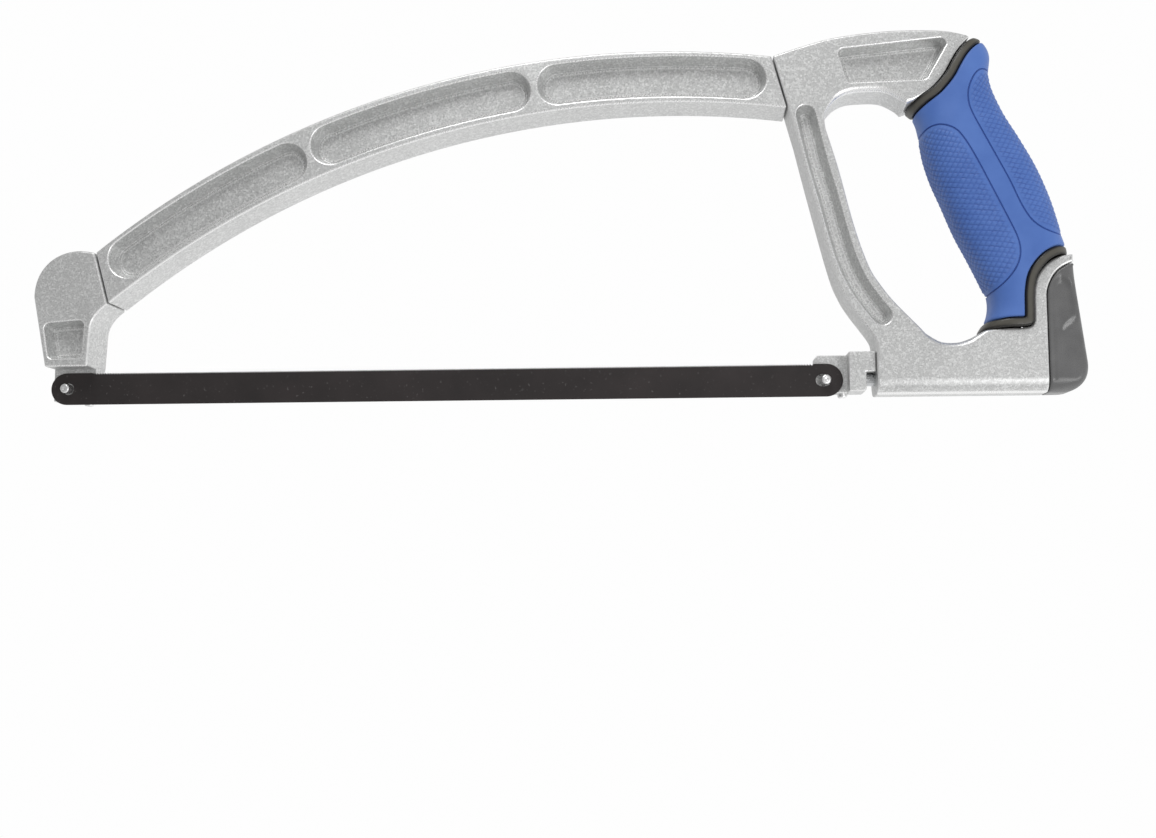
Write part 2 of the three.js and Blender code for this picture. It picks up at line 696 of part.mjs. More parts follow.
function makeHandle() {
  const casting = cut(
    plateSolid(handleShape(), -CAST_HALF, CAST_HALF),
    plateSolid(openingShape(), -20, 20),
    gripSpan(0),
  );
  const spine = gripForm(CORE_DEPTH, 6, 18, 12).intersect(gripSpan(-4));
  return cut(
    joined(casting, spine),
    heelSweep(),
    webPockets(),
    strutSlots(),
    bottomRounding(BLOCK_FRONT_X - 1, HEEL_X + 1),
    swivelBore(1),
    axisBore(BLOCK_FRONT_X - 2, HEEL_X - HEEL_WALL, BARREL_DIAMETER / 2),
    axisBore(HEEL_X - HEEL_WALL - 1, HEEL_X, 4.05),
    axisBore(THRUST.x[0] - GAP, HEEL_X + 1, THRUST.radius + GAP),
    boxSolid([BLOCK_FRONT_X - 2, TONGUE.x + 1], [-TONGUE.y - GAP, TONGUE.y + GAP], [0, TONGUE.z[1] + GAP]),
  );
}

function makeGripLiner() {
  const bareRims = cut(gripForm(0).intersect(gripSpan(0)), gripSpan(RIM_WIDTH));
  const wall = gripForm(COVER_WALL, null, 20, 18).intersect(gripSpan(0));
  return cut(joined(wall, bareRims), gripForm(CORE_DEPTH, 6, 18, 12), heelSweep());
}

function makeGripCover() {
  return cut(gripForm(0).intersect(gripSpan(RIM_WIDTH)), gripForm(COVER_WALL, null, 20, 18));
}

// ---------------------------------------------------------------- the whole saw

const saw = new THREE.Group();
saw.name = 'hacksaw';

function place(name, solid, paint) {
  const material = new THREE.MeshStandardMaterial(paint);
  const mesh = new THREE.Mesh(toGeometry(solid), material);
  mesh.name = name;
  saw.add(mesh);
}

place('handle_frame', makeHandle(), PAINT.cast);
place('grip_liner', makeGripLiner(), PAINT.black);
place('grip_cover', makeGripCover(), PAINT.blue);
place('tension_knob', makeKnob(), PAINT.black);
place('knob_thread_insert', makeKnobInsert(), PAINT.steel);
place('thrust_washer', makeThrustWasher(), PAINT.steel);
place('rod_guide_bush', makeRodGuideBush(), PAINT.bronze);
place('rear_blade_holder', makeRearHolder(), PAINT.cast);
place('tension_rod', makeTensionRod(), PAINT.steel);
place('rod_retaining_ring', makeRetainingRing(), PAINT.steel);
place('spring_seat_washer', makeSeatWasher(), PAINT.steel);
place('tension_spring', makeTensionSpring(), PAINT.steel);
place('blade', makeBlade(), PAINT.blade);
place('nose', makeNose(), PAINT.cast);
place('bow', makeBow(), PAINT.cast);
for (const [side, end] of [['front', -1], ['rear', 1]]) {
  place(`${side}_side_pin`, makePin(sidePin(end)), PAINT.steel);
  place(`${side}_down_pin`, makePin(downPin(end)), PAINT.steel);
  place(`${side}_swivel_stud`, makeSwivelStud(end), PAINT.steel);
  place(`${side}_swivel_bush`, makeSwivelBush(end), PAINT.bronze);
  place(`${side}_swivel_washer`, makeSwivelWasher(end), PAINT.steel);
  place(`${side}_stud_pin`, makeStudPin(end), PAINT.steel);
}

const around = new THREE.Box3().setFromObject(saw);
for (const mesh of saw.children) {
  mesh.geometry.translate(
    -(around.min.x + around.max.x) / 2,
    -(around.min.y + around.max.y) / 2,
    -around.min.z,
  );
}

export default saw;
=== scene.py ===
"""Looks of the hacksaw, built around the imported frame.

Lengths below are millimetres in the frame's own axes: X along the blade, Y across the saw, Z up.
They are counted from the middle of the line between the blade's two holes; dress() moves each
piece from there to its place in the frame.
"""

import math

import bmesh
import bpy
import numpy as np
from mathutils import Matrix, Vector
from mathutils.geometry import tessellate_polygon


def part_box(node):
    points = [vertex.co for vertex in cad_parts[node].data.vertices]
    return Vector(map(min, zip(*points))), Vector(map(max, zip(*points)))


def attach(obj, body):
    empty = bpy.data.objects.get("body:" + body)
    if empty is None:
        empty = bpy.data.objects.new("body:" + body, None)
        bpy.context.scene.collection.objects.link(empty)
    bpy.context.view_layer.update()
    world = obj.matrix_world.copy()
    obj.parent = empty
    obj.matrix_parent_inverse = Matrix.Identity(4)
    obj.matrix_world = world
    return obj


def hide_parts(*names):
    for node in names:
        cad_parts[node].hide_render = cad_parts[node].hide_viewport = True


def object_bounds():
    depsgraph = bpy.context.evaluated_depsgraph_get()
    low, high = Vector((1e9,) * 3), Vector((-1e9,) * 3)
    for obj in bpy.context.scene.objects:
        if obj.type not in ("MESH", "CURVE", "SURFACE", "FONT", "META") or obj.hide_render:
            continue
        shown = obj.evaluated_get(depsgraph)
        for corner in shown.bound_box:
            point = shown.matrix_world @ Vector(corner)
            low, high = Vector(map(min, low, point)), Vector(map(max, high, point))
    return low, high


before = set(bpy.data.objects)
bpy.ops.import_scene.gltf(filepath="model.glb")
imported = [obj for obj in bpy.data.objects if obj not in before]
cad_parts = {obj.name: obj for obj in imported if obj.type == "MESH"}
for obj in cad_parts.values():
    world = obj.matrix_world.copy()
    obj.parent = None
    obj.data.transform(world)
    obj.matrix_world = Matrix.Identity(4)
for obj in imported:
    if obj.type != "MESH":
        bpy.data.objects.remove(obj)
cad_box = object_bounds()

MM = 0.001


def blade_middle():
    """Where the frame has the middle of the blade, in the mid-plane of the castings."""
    low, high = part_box("blade")
    return Vector(((low.x + high.x) / 2, low.y - BLADE_Y[0] * MM, (low.z + high.z) / 2))


# ---------------------------------------------------------------- driving dimensions

HALF_SPACING = 150                 # from the middle of the blade to each hole
BLADE_WIDTH = 12.7
BLADE_Y = (-1.0, -0.35)
BLADE_HOLE_RADIUS = 2.4
FIRST_TOOTH_X, LAST_TOOTH_X = -139.5, 146.0
SLACK = 1.1                        # length of the slot at the rear hole, less its width
TOOTH_PITCH = 25.4 / 24
TOOTH_DEPTH = 0.7
TOOTH_SET = 0.16                   # how far the wavy set carries the tips to either side
TEETH_PER_WAVE = 8
TIP_BEHIND_ROOT = 0.22             # of each tooth, as a share of the pitch

CAST_HALF = 9.5                    # half the thickness of the castings
CAST_FILLET = 0.8                  # on the castings' outer edges
SEAM_FILLET = 0.45
SOFT_FILLET = 2.4                  # where fingers reach round the casting
POCKET_DEPTH = 6.5
LONG_DRAFT = 1.9
SHORT_DRAFT = 1.3

CHORD_ANGLE = math.radians(15.2)
CHORD_HEIGHT = 79.5
JOINT_SPAN = 139
JOINT_GAP = 0.6
JOINT_HALF = 10.75

BOW_TOP = (39, 355)                # apex above the chord, radius
BOW_BOTTOM = (18, 350)
BOW_POCKET_HALF = 8.2
BOW_POCKET_ENDS = ((-134.8, -47.6), (-45.2, 45.2), (47.6, 134.8))

BLOCK_FRONT_X = 169
HEEL_X = 232.8
KNOB_FRONT_X = 233.2
BLOCK_BOTTOM_Z = -6.3
BLOCK_CORNER = 5.5

GRIP_END_HALF = 11                 # half the thickness of the grip at its ends
GRIP_MIDDLE_HALF = 13.5
RIM_WIDTH = 4.0                    # of the liner's bare rims
COVER_WALL = 1.8
LINER_DEPTH = 4.2

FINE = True

# ---------------------------------------------------------------- lines


def curve_points(points, count):
    """Points along a smooth line through the given ones."""
    points = np.array(points, float)
    last = len(points) - 1
    out = []
    for step in range(count + 1):
        place = last * step / count
        i = min(int(place), last - 1)
        t = place - i
        before, here = points[max(i - 1, 0)], points[i]
        there, after = points[i + 1], points[min(i + 2, last)]
        leave, arrive = (there - before) / 2, (after - here) / 2
        out.append(
            (2 * here - 2 * there + leave + arrive) * t**3
            + (-3 * here + 3 * there - 2 * leave - arrive) * t**2
            + leave * t + here
        )
    return np.array(out)


def bezier_points(corners, count):
    """Points of the curve that the corners control, without its first point."""
    corners = np.array(corners, float)
    degree = len(corners) - 1
    out = []
    for step in range(1, count + 1):
        t = step / count
        out.append(sum(
            math.comb(degree, k) * t**k * (1 - t)**(degree - k) * corners[k]
            for k in range(degree + 1)
        ))
    return out


def beside_line(points, distance):
    """The line moved to the left of its own direction."""
    points = np.array(points, float)
    along = np.empty_like(points)
    along[1:-1] = points[2:] - points[:-2]
    along[0] = points[1] - points[0]
    along[-1] = points[-1] - points[-2]
    along /= np.linalg.norm(along, axis=1)[:, None]
    return points + distance * np.stack([-along[:, 1], along[:, 0]], 1)


def arc_points(centre, radius, start, end, count):
    angles = np.linspace(start, end, count + 1)
    return np.stack([centre[0] + radius * np.cos(angles), centre[1] + radius * np.sin(angles)], 1)


def chord_point(along, across):
    """A point from its distance along the swivel axis and its height above it."""
    return (
        math.cos(CHORD_ANGLE) * along - math.sin(CHORD_ANGLE) * across,
        CHORD_HEIGHT + math.sin(CHORD_ANGLE) * along + math.cos(CHORD_ANGLE) * across,
    )


def arch_line(arch, start, end, count):
    apex, radius = arch
    return np.array([
        chord_point(s, apex - radius + math.sqrt(radius**2 - s**2))
        for s in np.linspace(start, end, count + 1)
    ])


# ---------------------------------------------------------------- closed outlines


def dense_loop(points, spacing=2.5):
    """A closed outline with its repeated points dropped and its long sides divided."""
    points = [np.array(p, float) for p in points]
    kept = []
    for p in points:
        if not kept or np.linalg.norm(p - kept[-1]) > 1e-4:
            kept.append(p)
    if np.linalg.norm(kept[0] - kept[-1]) < 1e-4:
        kept.pop()
    out = []
    for a, b in zip(kept, kept[1:] + kept[:1]):
        parts = max(1, int(np.linalg.norm(b - a) / spacing))
        out.extend(a + (b - a) * k / parts for k in range(parts))
    return np.array(out)


def side_normals(points):
    """The outward normal of each side of an outline that runs counter-clockwise."""
    sides = np.roll(points, -1, 0) - points
    sides /= np.linalg.norm(sides, axis=1)[:, None]
    return np.stack([sides[:, 1], -sides[:, 0]], 1)


def offset_loop(points, distance):
    """The outline moved outwards; its corners stay mitred."""
    after = side_normals(points)
    before = np.roll(after, 1, 0)
    middle = before + after
    reach = 2 * distance / np.maximum((middle**2).sum(1), 0.6)
    return points + middle * reach[:, None]


def corner_turns(points):
    """How sharply the outline turns at each point, positive where it is convex."""
    after = side_normals(points)
    before = np.roll(after, 1, 0)
    cross = before[:, 0] * after[:, 1] - before[:, 1] * after[:, 0]
    return np.arctan2(cross, (before * after).sum(1))


class Outline:
    """A closed outline whose corners are rounded, at any distance from itself."""

    SHARP = math.radians(24)
    ARC_STEPS = 5

    def __init__(self, points, corner=0.8, fillet=CAST_FILLET, seam_sides=()):
        self.points = dense_loop(points)
        self.turns = corner_turns(self.points)
        self.corner = corner
        self.fillets = np.full(len(self.points), float(fillet))
        for line, size in seam_sides:
            near = distance_to_line(self.points, np.array(line, float))[0] < 0.05
            self.fillets[near] = size

    def ring(self, share):
        """Points of the outline inset by a share of each fillet, and the size of the fillets there."""
        inset = -self.fillets * share
        moved = offset_loop(self.points, inset)
        out, sizes = [], []
        for i, point in enumerate(moved):
            if abs(self.turns[i]) < self.SHARP:
                out.append(point)
                sizes.append(self.fillets[i])
                continue
            radius = max(self.corner + math.copysign(inset[i], inset[i] * self.turns[i]), 0.04)
            out.extend(rounded_corner(moved[i - 1], point, moved[(i + 1) % len(moved)],
                                      radius, self.ARC_STEPS))
            sizes.extend([self.fillets[i]] * (self.ARC_STEPS + 1))
        return np.array(out), np.array(sizes)


def rounded_corner(before, corner, after, radius, steps):
    """Points of the arc that rounds one corner."""
    enter = (before - corner) / np.linalg.norm(before - corner)
    leave = (after - corner) / np.linalg.norm(after - corner)
    half = math.acos(max(-1, min(1, float(enter @ leave)))) / 2
    room = 0.48 * min(np.linalg.norm(before - corner), np.linalg.norm(after - corner))
    trim = min(radius / math.tan(half), room)
    radius = trim * math.tan(half)
    middle = enter + leave
    middle /= np.linalg.norm(middle)
    centre = corner + middle * radius / math.sin(half)
    start, end = corner + enter * trim - centre, corner + leave * trim - centre
    first, last = math.atan2(start[1], start[0]), math.atan2(end[1], end[0])
    sweep = (last - first + math.pi) % (2 * math.pi) - math.pi
    return arc_points(centre, radius, first, first + sweep, steps)


def slot_outline(centre_line, half):
    """A function that gives a round-ended slot around a line, at any distance outside it."""
    line = np.array(centre_line, float)

    def cap(at, towards, radius):
        angle = math.atan2(towards[1] - at[1], towards[0] - at[0])
        return arc_points(at, radius, angle - math.pi / 2, angle + math.pi / 2, 20)

    def ring(distance):
        radius = half + distance
        return np.concatenate([
            beside_line(line, -radius)[1:-1],
            cap(line[-1], 2 * line[-1] - line[-2], radius),
            beside_line(line, radius)[1:-1][::-1],
            cap(line[0], 2 * line[0] - line[1], radius),
        ])

    return ring


def polygon_outline(corners, radius):
    """A function that gives a polygon with round corners, at any distance outside it."""
    corners = np.array(corners, float)

    def ring(distance):
        moved = offset_loop(corners, np.full(len(corners), float(distance)))
        out = []
        for i, corner in enumerate(moved):
            out.extend(rounded_corner(moved[i - 1], corner, moved[(i + 1) % len(moved)],
                                      max(radius + distance, 0.1), 8))
        return np.array(out)

    return ring


def distance_to_line(points, line):
    """Distance of points from a line, and the same with a sign: positive on its left."""
    starts, ends = line[:-1], line[1:]
    sides = ends - starts
    rel = points[..., None, :] - starts
    share = np.clip((rel * sides).sum(-1) / (sides**2).sum(-1), 0, 1)
    away = rel - share[..., None] * sides
    lengths = np.linalg.norm(away, axis=-1)
    nearest = lengths.argmin(-1)
    cross = sides[:, 0] * rel[..., 1] - sides[:, 1] * rel[..., 0]
    pick = lambda values: np.take_along_axis(values, nearest[..., None], -1)[..., 0]
    distance = pick(lengths)
    return distance, distance * np.sign(pick(cross))


# ---------------------------------------------------------------- meshes


class Shell:
    """Points and faces of a body, gathered ring by ring."""

    def __init__(self):
        self.points = []
        self.faces = []
        # per point: painted highlight on casting edges and liner rims, painted shade in the grip's grooves
        # and knurl, wear at the tooth tips
        self.painted_light_and_wear = []

    def ring(self, flat, y, light_and_wear=0.0):
        """Adds a ring of (x, z) points at a depth y; returns its point numbers."""
        start = len(self.points)
        depths = np.broadcast_to(y, (len(flat),))
        self.points.extend((p[0], d, p[1]) for p, d in zip(flat, depths))
        self.painted_light_and_wear.extend(np.broadcast_to(light_and_wear, len(flat)).tolist())
        return list(range(start, start + len(flat)))

    def bridge(self, a, b, inward=False):
        for i in range(len(a)):
            j = (i + 1) % len(a)
            face = (a[i], b[i], b[j], a[j])
            self.faces.append(face[::-1] if inward else face)

    def cap(self, loops, far=False):
        """Fills a flat face between an outer loop and the holes in it."""
        numbers = [n for loop in loops for n in loop]
        flat = [[Vector((self.points[n][0], self.points[n][2], 0)) for n in loop] for loop in loops]
        for a, b, c in tessellate_polygon(flat):
            pa, pb, pc = (self.points[numbers[k]] for k in (a, b, c))
            area = (pb[0] - pa[0]) * (pc[2] - pa[2]) - (pb[2] - pa[2]) * (pc[0] - pa[0])
            if abs(area) < 1e-9:
                continue
            turned = (area > 0) == far
            face = (numbers[a], numbers[b], numbers[c])
            self.faces.append(face[::-1] if turned else face)

    def add(self, other):
        start = len(self.points)
        self.points.extend(other.points)
        self.painted_light_and_wear.extend(other.painted_light_and_wear)
        self.faces.extend(tuple(n + start for n in face) for face in other.faces)


FILLET_STEPS = 5
BRIGHT_EDGE_STEPS = {1, 2, 3, 4, 14, 15, 16, 17}   # of a pocket's profile: its rim and its floor's edge, painted bright: painted highlight, on the rim partly rubbed metal


def pocket_profile(depth, draft, rim=0.7, foot=0.7, shoulder=0.35):
    """(distance outside the floor, depth below the face) from a pocket's rim to its floor."""
    plan = [
        ((draft + 3, 0), 0), ((draft, 0), rim), ((0, depth), foot),
        ((-0.6, depth), 0.12), ((-1.0, depth - shoulder), 0.3), ((-4, depth - shoulder), 0),
    ]
    corners = [np.array(p, float) for p, _ in plan]
    out = []
    for i in range(1, len(plan) - 1):
        steps = 5 if plan[i][1] > 0.3 else 2
        out.extend(rounded_corner(corners[i - 1], corners[i], corners[i + 1], plan[i][1], steps))
    out.append((-1.7, depth - shoulder))
    return np.array(out)


def edge_highlight_share(flat):
    """How strong a painted highlight each point of an outline gets: most where it looks down, least where it
    looks up.
    """
    flat = np.array(flat)
    along = np.roll(flat, -1, axis=0) - np.roll(flat, 1, axis=0)
    down = along[:, 0] / np.maximum(np.hypot(along[:, 0], along[:, 1]), 1e-9)
    return 0.3 + 0.7 * np.clip(0.35 + down, 0, 1)


def plate_shell(outline, near, far, pockets=()):
    """A plate between two depths, with filleted edges.

    pockets: (ring function, profile) pairs cut into both faces.
    """
    shell = Shell()
    middle, half = (near + far) / 2, (far - near) / 2
    # painted highlight on the edge fillets; the flat faces get a little of it
    painted_highlight = edge_highlight_share(outline.ring(0)[0])
    walls = []
    for side in (-1, 1):
        rings = []
        for step in range(FILLET_STEPS + 1):
            angle = math.pi / 2 * step / FILLET_STEPS
            flat, sizes = outline.ring(1 - math.sin(angle))
            depth = middle + side * (half - sizes * (1 - math.cos(angle)))
            rings.append(shell.ring(flat, depth, light_and_wear=painted_highlight if 0 < step < FILLET_STEPS else 0.1))
        for a, b in zip(rings, rings[1:]):
            shell.bridge(a, b, inward=side > 0)
        loops = [rings[0]]
        for ring, profile in pockets:
            previous = None
            for k, (distance, below) in enumerate(profile):
                # painted highlight on the pocket's rim and on its floor's edge
                light_and_wear = 1.0 if k in BRIGHT_EDGE_STEPS else 0.0
                numbers = shell.ring(ring(distance), middle + side * (half - below), light_and_wear)
                if previous is None:
                    loops.append(numbers)
                else:
                    shell.bridge(previous, numbers, inward=side < 0)
                previous = numbers
            shell.cap([previous], far=side > 0)
        shell.cap(loops, far=side > 0)
        walls.append(rings[-1])
    shell.bridge(*walls)
    return shell


SHARP_ANGLE = 38                   # degrees; steeper edges stay crisp


def make_object(name, shell, sharp_angle=SHARP_ANGLE, weighted=True):
    mesh = bpy.data.meshes.new(name)
    points = [(x * MM, y * MM, z * MM) for x, y, z in shell.points]
    mesh.from_pydata(points, [], shell.faces)
    # the per-point share that the materials paint with: painted highlight, painted shade and tooth-tip wear
    layer = mesh.attributes.new("painted_light_and_wear", "FLOAT", "POINT")
    layer.data.foreach_set("value", shell.painted_light_and_wear)
    work = bmesh.new()
    work.from_mesh(mesh)
    bmesh.ops.remove_doubles(work, verts=work.verts, dist=1e-7)
    bmesh.ops.dissolve_degenerate(work, edges=work.edges, dist=1e-7)
    work.to_mesh(mesh)
    work.free()
    thing = bpy.data.objects.new(name, mesh)
    bpy.context.scene.collection.objects.link(thing)
    smooth_faces(mesh, sharp_angle)
    if weighted:
        modifier = thing.modifiers.new("weighted normals", "WEIGHTED_NORMAL")
        modifier.keep_sharp = True
        modifier.weight = 60
    return thing


def smooth_faces(mesh, sharp_angle):
    mesh.shade_smooth()
    mesh.set_sharp_from_angle(angle=math.radians(sharp_angle))


UNDERSIDE_CUTS = 10


def round_underside(thing, bottom, radius):
    """Rounds the two long bottom edges of a block by drawing its sides in towards the bottom."""
    work = bmesh.new()
    work.from_mesh(thing.data)
    for k in range(1, UNDERSIDE_CUTS + 1):
        level = bottom + radius * (1 - math.cos(math.pi / 2 * k / UNDERSIDE_CUTS))
        cut_across(work, level, (0, 0, 1))
    for vertex in work.verts:
        z = vertex.co.z / MM
        if z > bottom + radius:
            continue
        drop = min(1.0, (bottom + radius - z) / radius)
        half = CAST_HALF - radius + radius * math.sqrt(max(0.0, 1 - drop**2))
        vertex.co.y *= half / CAST_HALF
    work.to_mesh(thing.data)
    work.free()
    smooth_faces(thing.data, SHARP_ANGLE)


def cut_across(work, level, direction):
    """Adds edges where a plane at a level along a direction crosses the mesh."""
    bmesh.ops.bisect_plane(
        work, geom=work.verts[:] + work.edges[:] + work.faces[:],
        plane_co=Vector(direction) * level * MM, plane_no=direction, dist=1e-8,
    )


def turned_shell(start, end, profile, sides=48):
    """A body turned about the line from start to end: (distance along it, radius) pairs."""
    start, end = np.array(start, float), np.array(end, float)
    along = (end - start) / np.linalg.norm(end - start)
    across = np.cross(along, (0.3, 0.2, 1.0))
    across /= np.linalg.norm(across)
    up = np.cross(along, across)
    shell = Shell()
    previous = None
    for distance, radius in profile:
        centre = start + along * distance
        first = len(shell.points)
        for k in range(sides):
            angle = 2 * math.pi * k / sides
            spoke = math.cos(angle) * across + math.sin(angle) * up
            shell.points.append(tuple(centre + radius * spoke))
        shell.painted_light_and_wear.extend([0.0] * sides)
        numbers = list(range(first, first + sides))
        if previous is None:
            shell.faces.append(tuple(numbers[::-1]))
        else:
            for i in range(sides):
                j = (i + 1) % sides
                shell.faces.append((previous[i], previous[j], numbers[j], numbers[i]))
        previous = numbers
    shell.faces.append(tuple(previous))
    return shell


# ---------------------------------------------------------------- castings


def make_bow():
    reach = JOINT_SPAN - JOINT_GAP / 2
    bottom = arch_line(BOW_BOTTOM, -reach, reach, 120)
    top = arch_line(BOW_TOP, reach, -reach, 120)
    outline = Outline(np.concatenate([bottom, top]), corner=0.5)
    middle = ((BOW_TOP[0] + BOW_BOTTOM[0]) / 2, BOW_TOP[1])
    pockets = []
    for start, end in BOW_POCKET_ENDS:
        line = arch_line(middle, start + BOW_POCKET_HALF, end - BOW_POCKET_HALF, 36)
        floor = slot_outline(line, BOW_POCKET_HALF - LONG_DRAFT)
        pockets.append((floor, pocket_profile(POCKET_DEPTH, LONG_DRAFT)))
    return make_object("bow_casting", plate_shell(outline, -CAST_HALF, CAST_HALF, pockets))


NOSE_FOOT_X = (-156.3, -138.8)
NOSE_BOTTOM = 8


def make_nose():
    reach = -(JOINT_SPAN + JOINT_GAP / 2)
    joint_top, joint_bottom = chord_point(reach, JOINT_HALF), chord_point(reach, -JOINT_HALF)
    knee, crown = (-138.3, 22.3), (-142.7, 54.3)
    outline = Outline([
        (-156.2, NOSE_BOTTOM), (-139.1, NOSE_BOTTOM), knee,
        *bezier_points([knee, (-137.9, 27), (-135.2, 30), joint_bottom], 12),
        joint_top,
        *bezier_points([joint_top, (-139.8, 54.1), crown], 6),
        *bezier_points([crown, (-154, 54.5), (-161.6, 46.9), (-161.5, 36)], 20),
    ], corner=0.7)
    floor = polygon_outline([(-153.8, 12.4), (-142.5, 12.6), (-142, 25.3), (-155.9, 24.2)], 1)
    profile = pocket_profile(POCKET_DEPTH, SHORT_DRAFT)
    shell = plate_shell(outline, -CAST_HALF, CAST_HALF, [(floor, profile)])
    left, right = NOSE_FOOT_X
    foot = Outline([(left, -5), (right, -5), (right, 9), (left, 9)], corner=0.6, fillet=0.5)
    shell.add(plate_shell(foot, -0.05, 8))
    return make_object("nose_casting", shell)


STRUT_BACK = [
    (187.4, 16.7), (176.8, 27.8), (171, 35.3), (166.6, 43), (161.5, 58.5), (156, 81), (151.4, 97),
]
WEB_UNDER = [
    (151.4, 97), (151.2, 102.5), (154.6, 107.6), (160, 110.7), (167, 111.4), (174, 111),
    (179.5, 108.3), (183.6, 104.9),
]
STRUT_FRONT = [
    (169, 11), (168.4, 15), (164.8, 20.4), (160.3, 26.6), (156.6, 33), (152.9, 43), (145.6, 72),
]
STRUT_SLOT = [
    (143.9, 102.7), (147.6, 86), (151.6, 71), (155.2, 56.6), (158.7, 44.8), (162.7, 35.9),
    (167.4, 28.8), (171.3, 23.8),
]
STRUT_SLOT_HALF = 2                # half the width of the slot's floor
WEB_FLOOR = [(157.8, 127.3), (161, 116.2), (189.5, 116.7), (197.6, 130.7)]
LOOP_BOTTOM = [(208.4, 17), (205.4, 15), (202, 13.6), (198.5, 12.9), (193, 13.4), (187.4, 16.7)]

UPPER_SEAM = [
    (175, 99.6), (180, 103.5), (187.7, 109), (192.7, 112.6), (196.9, 117.5), (199.5, 122.1),
    (202.1, 126.4), (205, 129.9), (208, 132.6), (211.5, 135.2), (218, 139),
]
LOWER_SEAM = [
    (203.5, 17.5), (207, 16.3), (211, 17.5), (218, 18), (224.4, 18.2), (227.4, 19.4), (228, 23),
    (228.1, 31), (229.3, 37.2), (232.7, 42), (236.8, 44.8), (241, 45.8), (252, 46.2),
]
HEEL_TOP_BACK_X = 243.1
KNOB_CURVE = curve_points([
    (KNOB_FRONT_X, 30.5), (233.6, 33), (234.9, 36.2), (236.6, 38.8), (238.8, 40.7), (241.5, 42.1),
    (HEEL_TOP_BACK_X, 42.6),
], 24)


def trimmed(line, test):
    return [p for p in line if test(p)]


def make_handle():
    reach = JOINT_SPAN + JOINT_GAP / 2
    joint_top, joint_bottom = chord_point(reach, JOINT_HALF), chord_point(reach, -JOINT_HALF)
    strut_top = chord_point(reach, -JOINT_HALF - 12)
    top = curve_points([
        joint_top, (144, 130.2), (156.5, 133.2), (176.3, 135.1), (195.8, 134.7), (206.3, 132.4),
        (213, 129.5),
    ], 40)
    upper = curve_points(UPPER_SEAM, 60)
    lower = curve_points(LOWER_SEAM, 70)
    above_seam = lambda p: distance_to_line(np.array(p), upper)[1] > 0.4
    below_seam = lambda p: distance_to_line(np.array(p), lower)[1] < -0.4
    web = trimmed(curve_points(WEB_UNDER, 36), above_seam)
    loop = trimmed(curve_points(LOOP_BOTTOM, 18), below_seam)
    top = trimmed(top, above_seam)
    web_start = len(web) // 3
    upper_part = trimmed(upper, lambda p: 184.2 < p[0] < 207.0)
    lower_part = trimmed(lower, lambda p: 208.2 < p[0] < HEEL_TOP_BACK_X - 0.3)
    heel_curve = beside_line(KNOB_CURVE, 0.4)
    heel_part = trimmed(heel_curve, lambda p: p[0] > HEEL_X + 0.02)
    rear = (HEEL_TOP_BACK_X, lower_part[-1][1])
    clockwise = [
        *top, *upper_part[::-1], *web[::-1], *curve_points(STRUT_BACK, 40)[::-1][1:-1], *loop[::-1],
        *lower_part, rear, (HEEL_TOP_BACK_X, heel_part[-1][1]), *heel_part[::-1][1:],
        (HEEL_X, heel_part[0][1] - 0.5), (HEEL_X, BLOCK_BOTTOM_Z), (BLOCK_FRONT_X, BLOCK_BOTTOM_Z),
        *curve_points([*STRUT_FRONT, strut_top], 40), joint_bottom,
    ]
    outline = Outline(clockwise[::-1], corner=0.6, seam_sides=[
        (upper, SEAM_FILLET), (lower, 1.1),
        ([(HEEL_X, BLOCK_BOTTOM_Z), (HEEL_X, 31)], 0.7),
        (web[web_start:], SOFT_FILLET), (loop, SOFT_FILLET),
    ])
    outline.fillets = smoothed(outline.fillets, 4)
    pockets = [
        (slot_outline(curve_points(STRUT_SLOT, 40), STRUT_SLOT_HALF),
         pocket_profile(POCKET_DEPTH, LONG_DRAFT, rim=0.6)),
        (polygon_outline(WEB_FLOOR, 0.8), pocket_profile(POCKET_DEPTH, SHORT_DRAFT)),
    ]
    thing = make_object("handle_casting", plate_shell(outline, -CAST_HALF, CAST_HALF, pockets))
    round_underside(thing, BLOCK_BOTTOM_Z, BLOCK_CORNER)
    return thing


SEAT_TOP_Z = 10.2
SOCKET_PROFILE = np.array([(0.4, 0), (0.1, 0.3), (0, 0.6), (0, 3.3)])  # round the pin's root


def make_holder():
    """The seat behind the blade, the collar in front of the block and the guided tongue."""
    seat = Outline([
        (146.2, -5), (159.4, -5), (159.4, SEAT_TOP_Z - 0.5), (147.3, SEAT_TOP_Z - 0.5),
        (146.2, SEAT_TOP_Z - 1.8),
    ], corner=0.3, fillet=0.35)
    socket = slot_outline([(149.4, 0), (149.8, 0), (150.2, 0)], 3.1)
    collar = Outline([
        (158.6, -5), (164.9, -5), (164.9, 2.4), (168.7, 2.4), (168.7, SEAT_TOP_Z), (158.6, SEAT_TOP_Z),
    ], corner=0.35, fillet=0.45)
    lip = Outline([(164.2, -4.4), (165.1, -4.4), (165.1, 3.4), (164.2, 3.4)], corner=0.2, fillet=0.3)
    tongue = Outline([(167.7, 2.9), (182, 2.9), (182, 9.3), (167.7, 9.3)], corner=0.3, fillet=0.3)
    shell = plate_shell(seat, -0.05, 7, [(socket, SOCKET_PROFILE)])
    shell.add(plate_shell(collar, -7, 7))
    shell.add(plate_shell(lip, -6.9, 6.9))
    shell.add(plate_shell(tongue, -3.4, 3.4))
    return make_object("holder_casting", shell)


# ---------------------------------------------------------------- knob


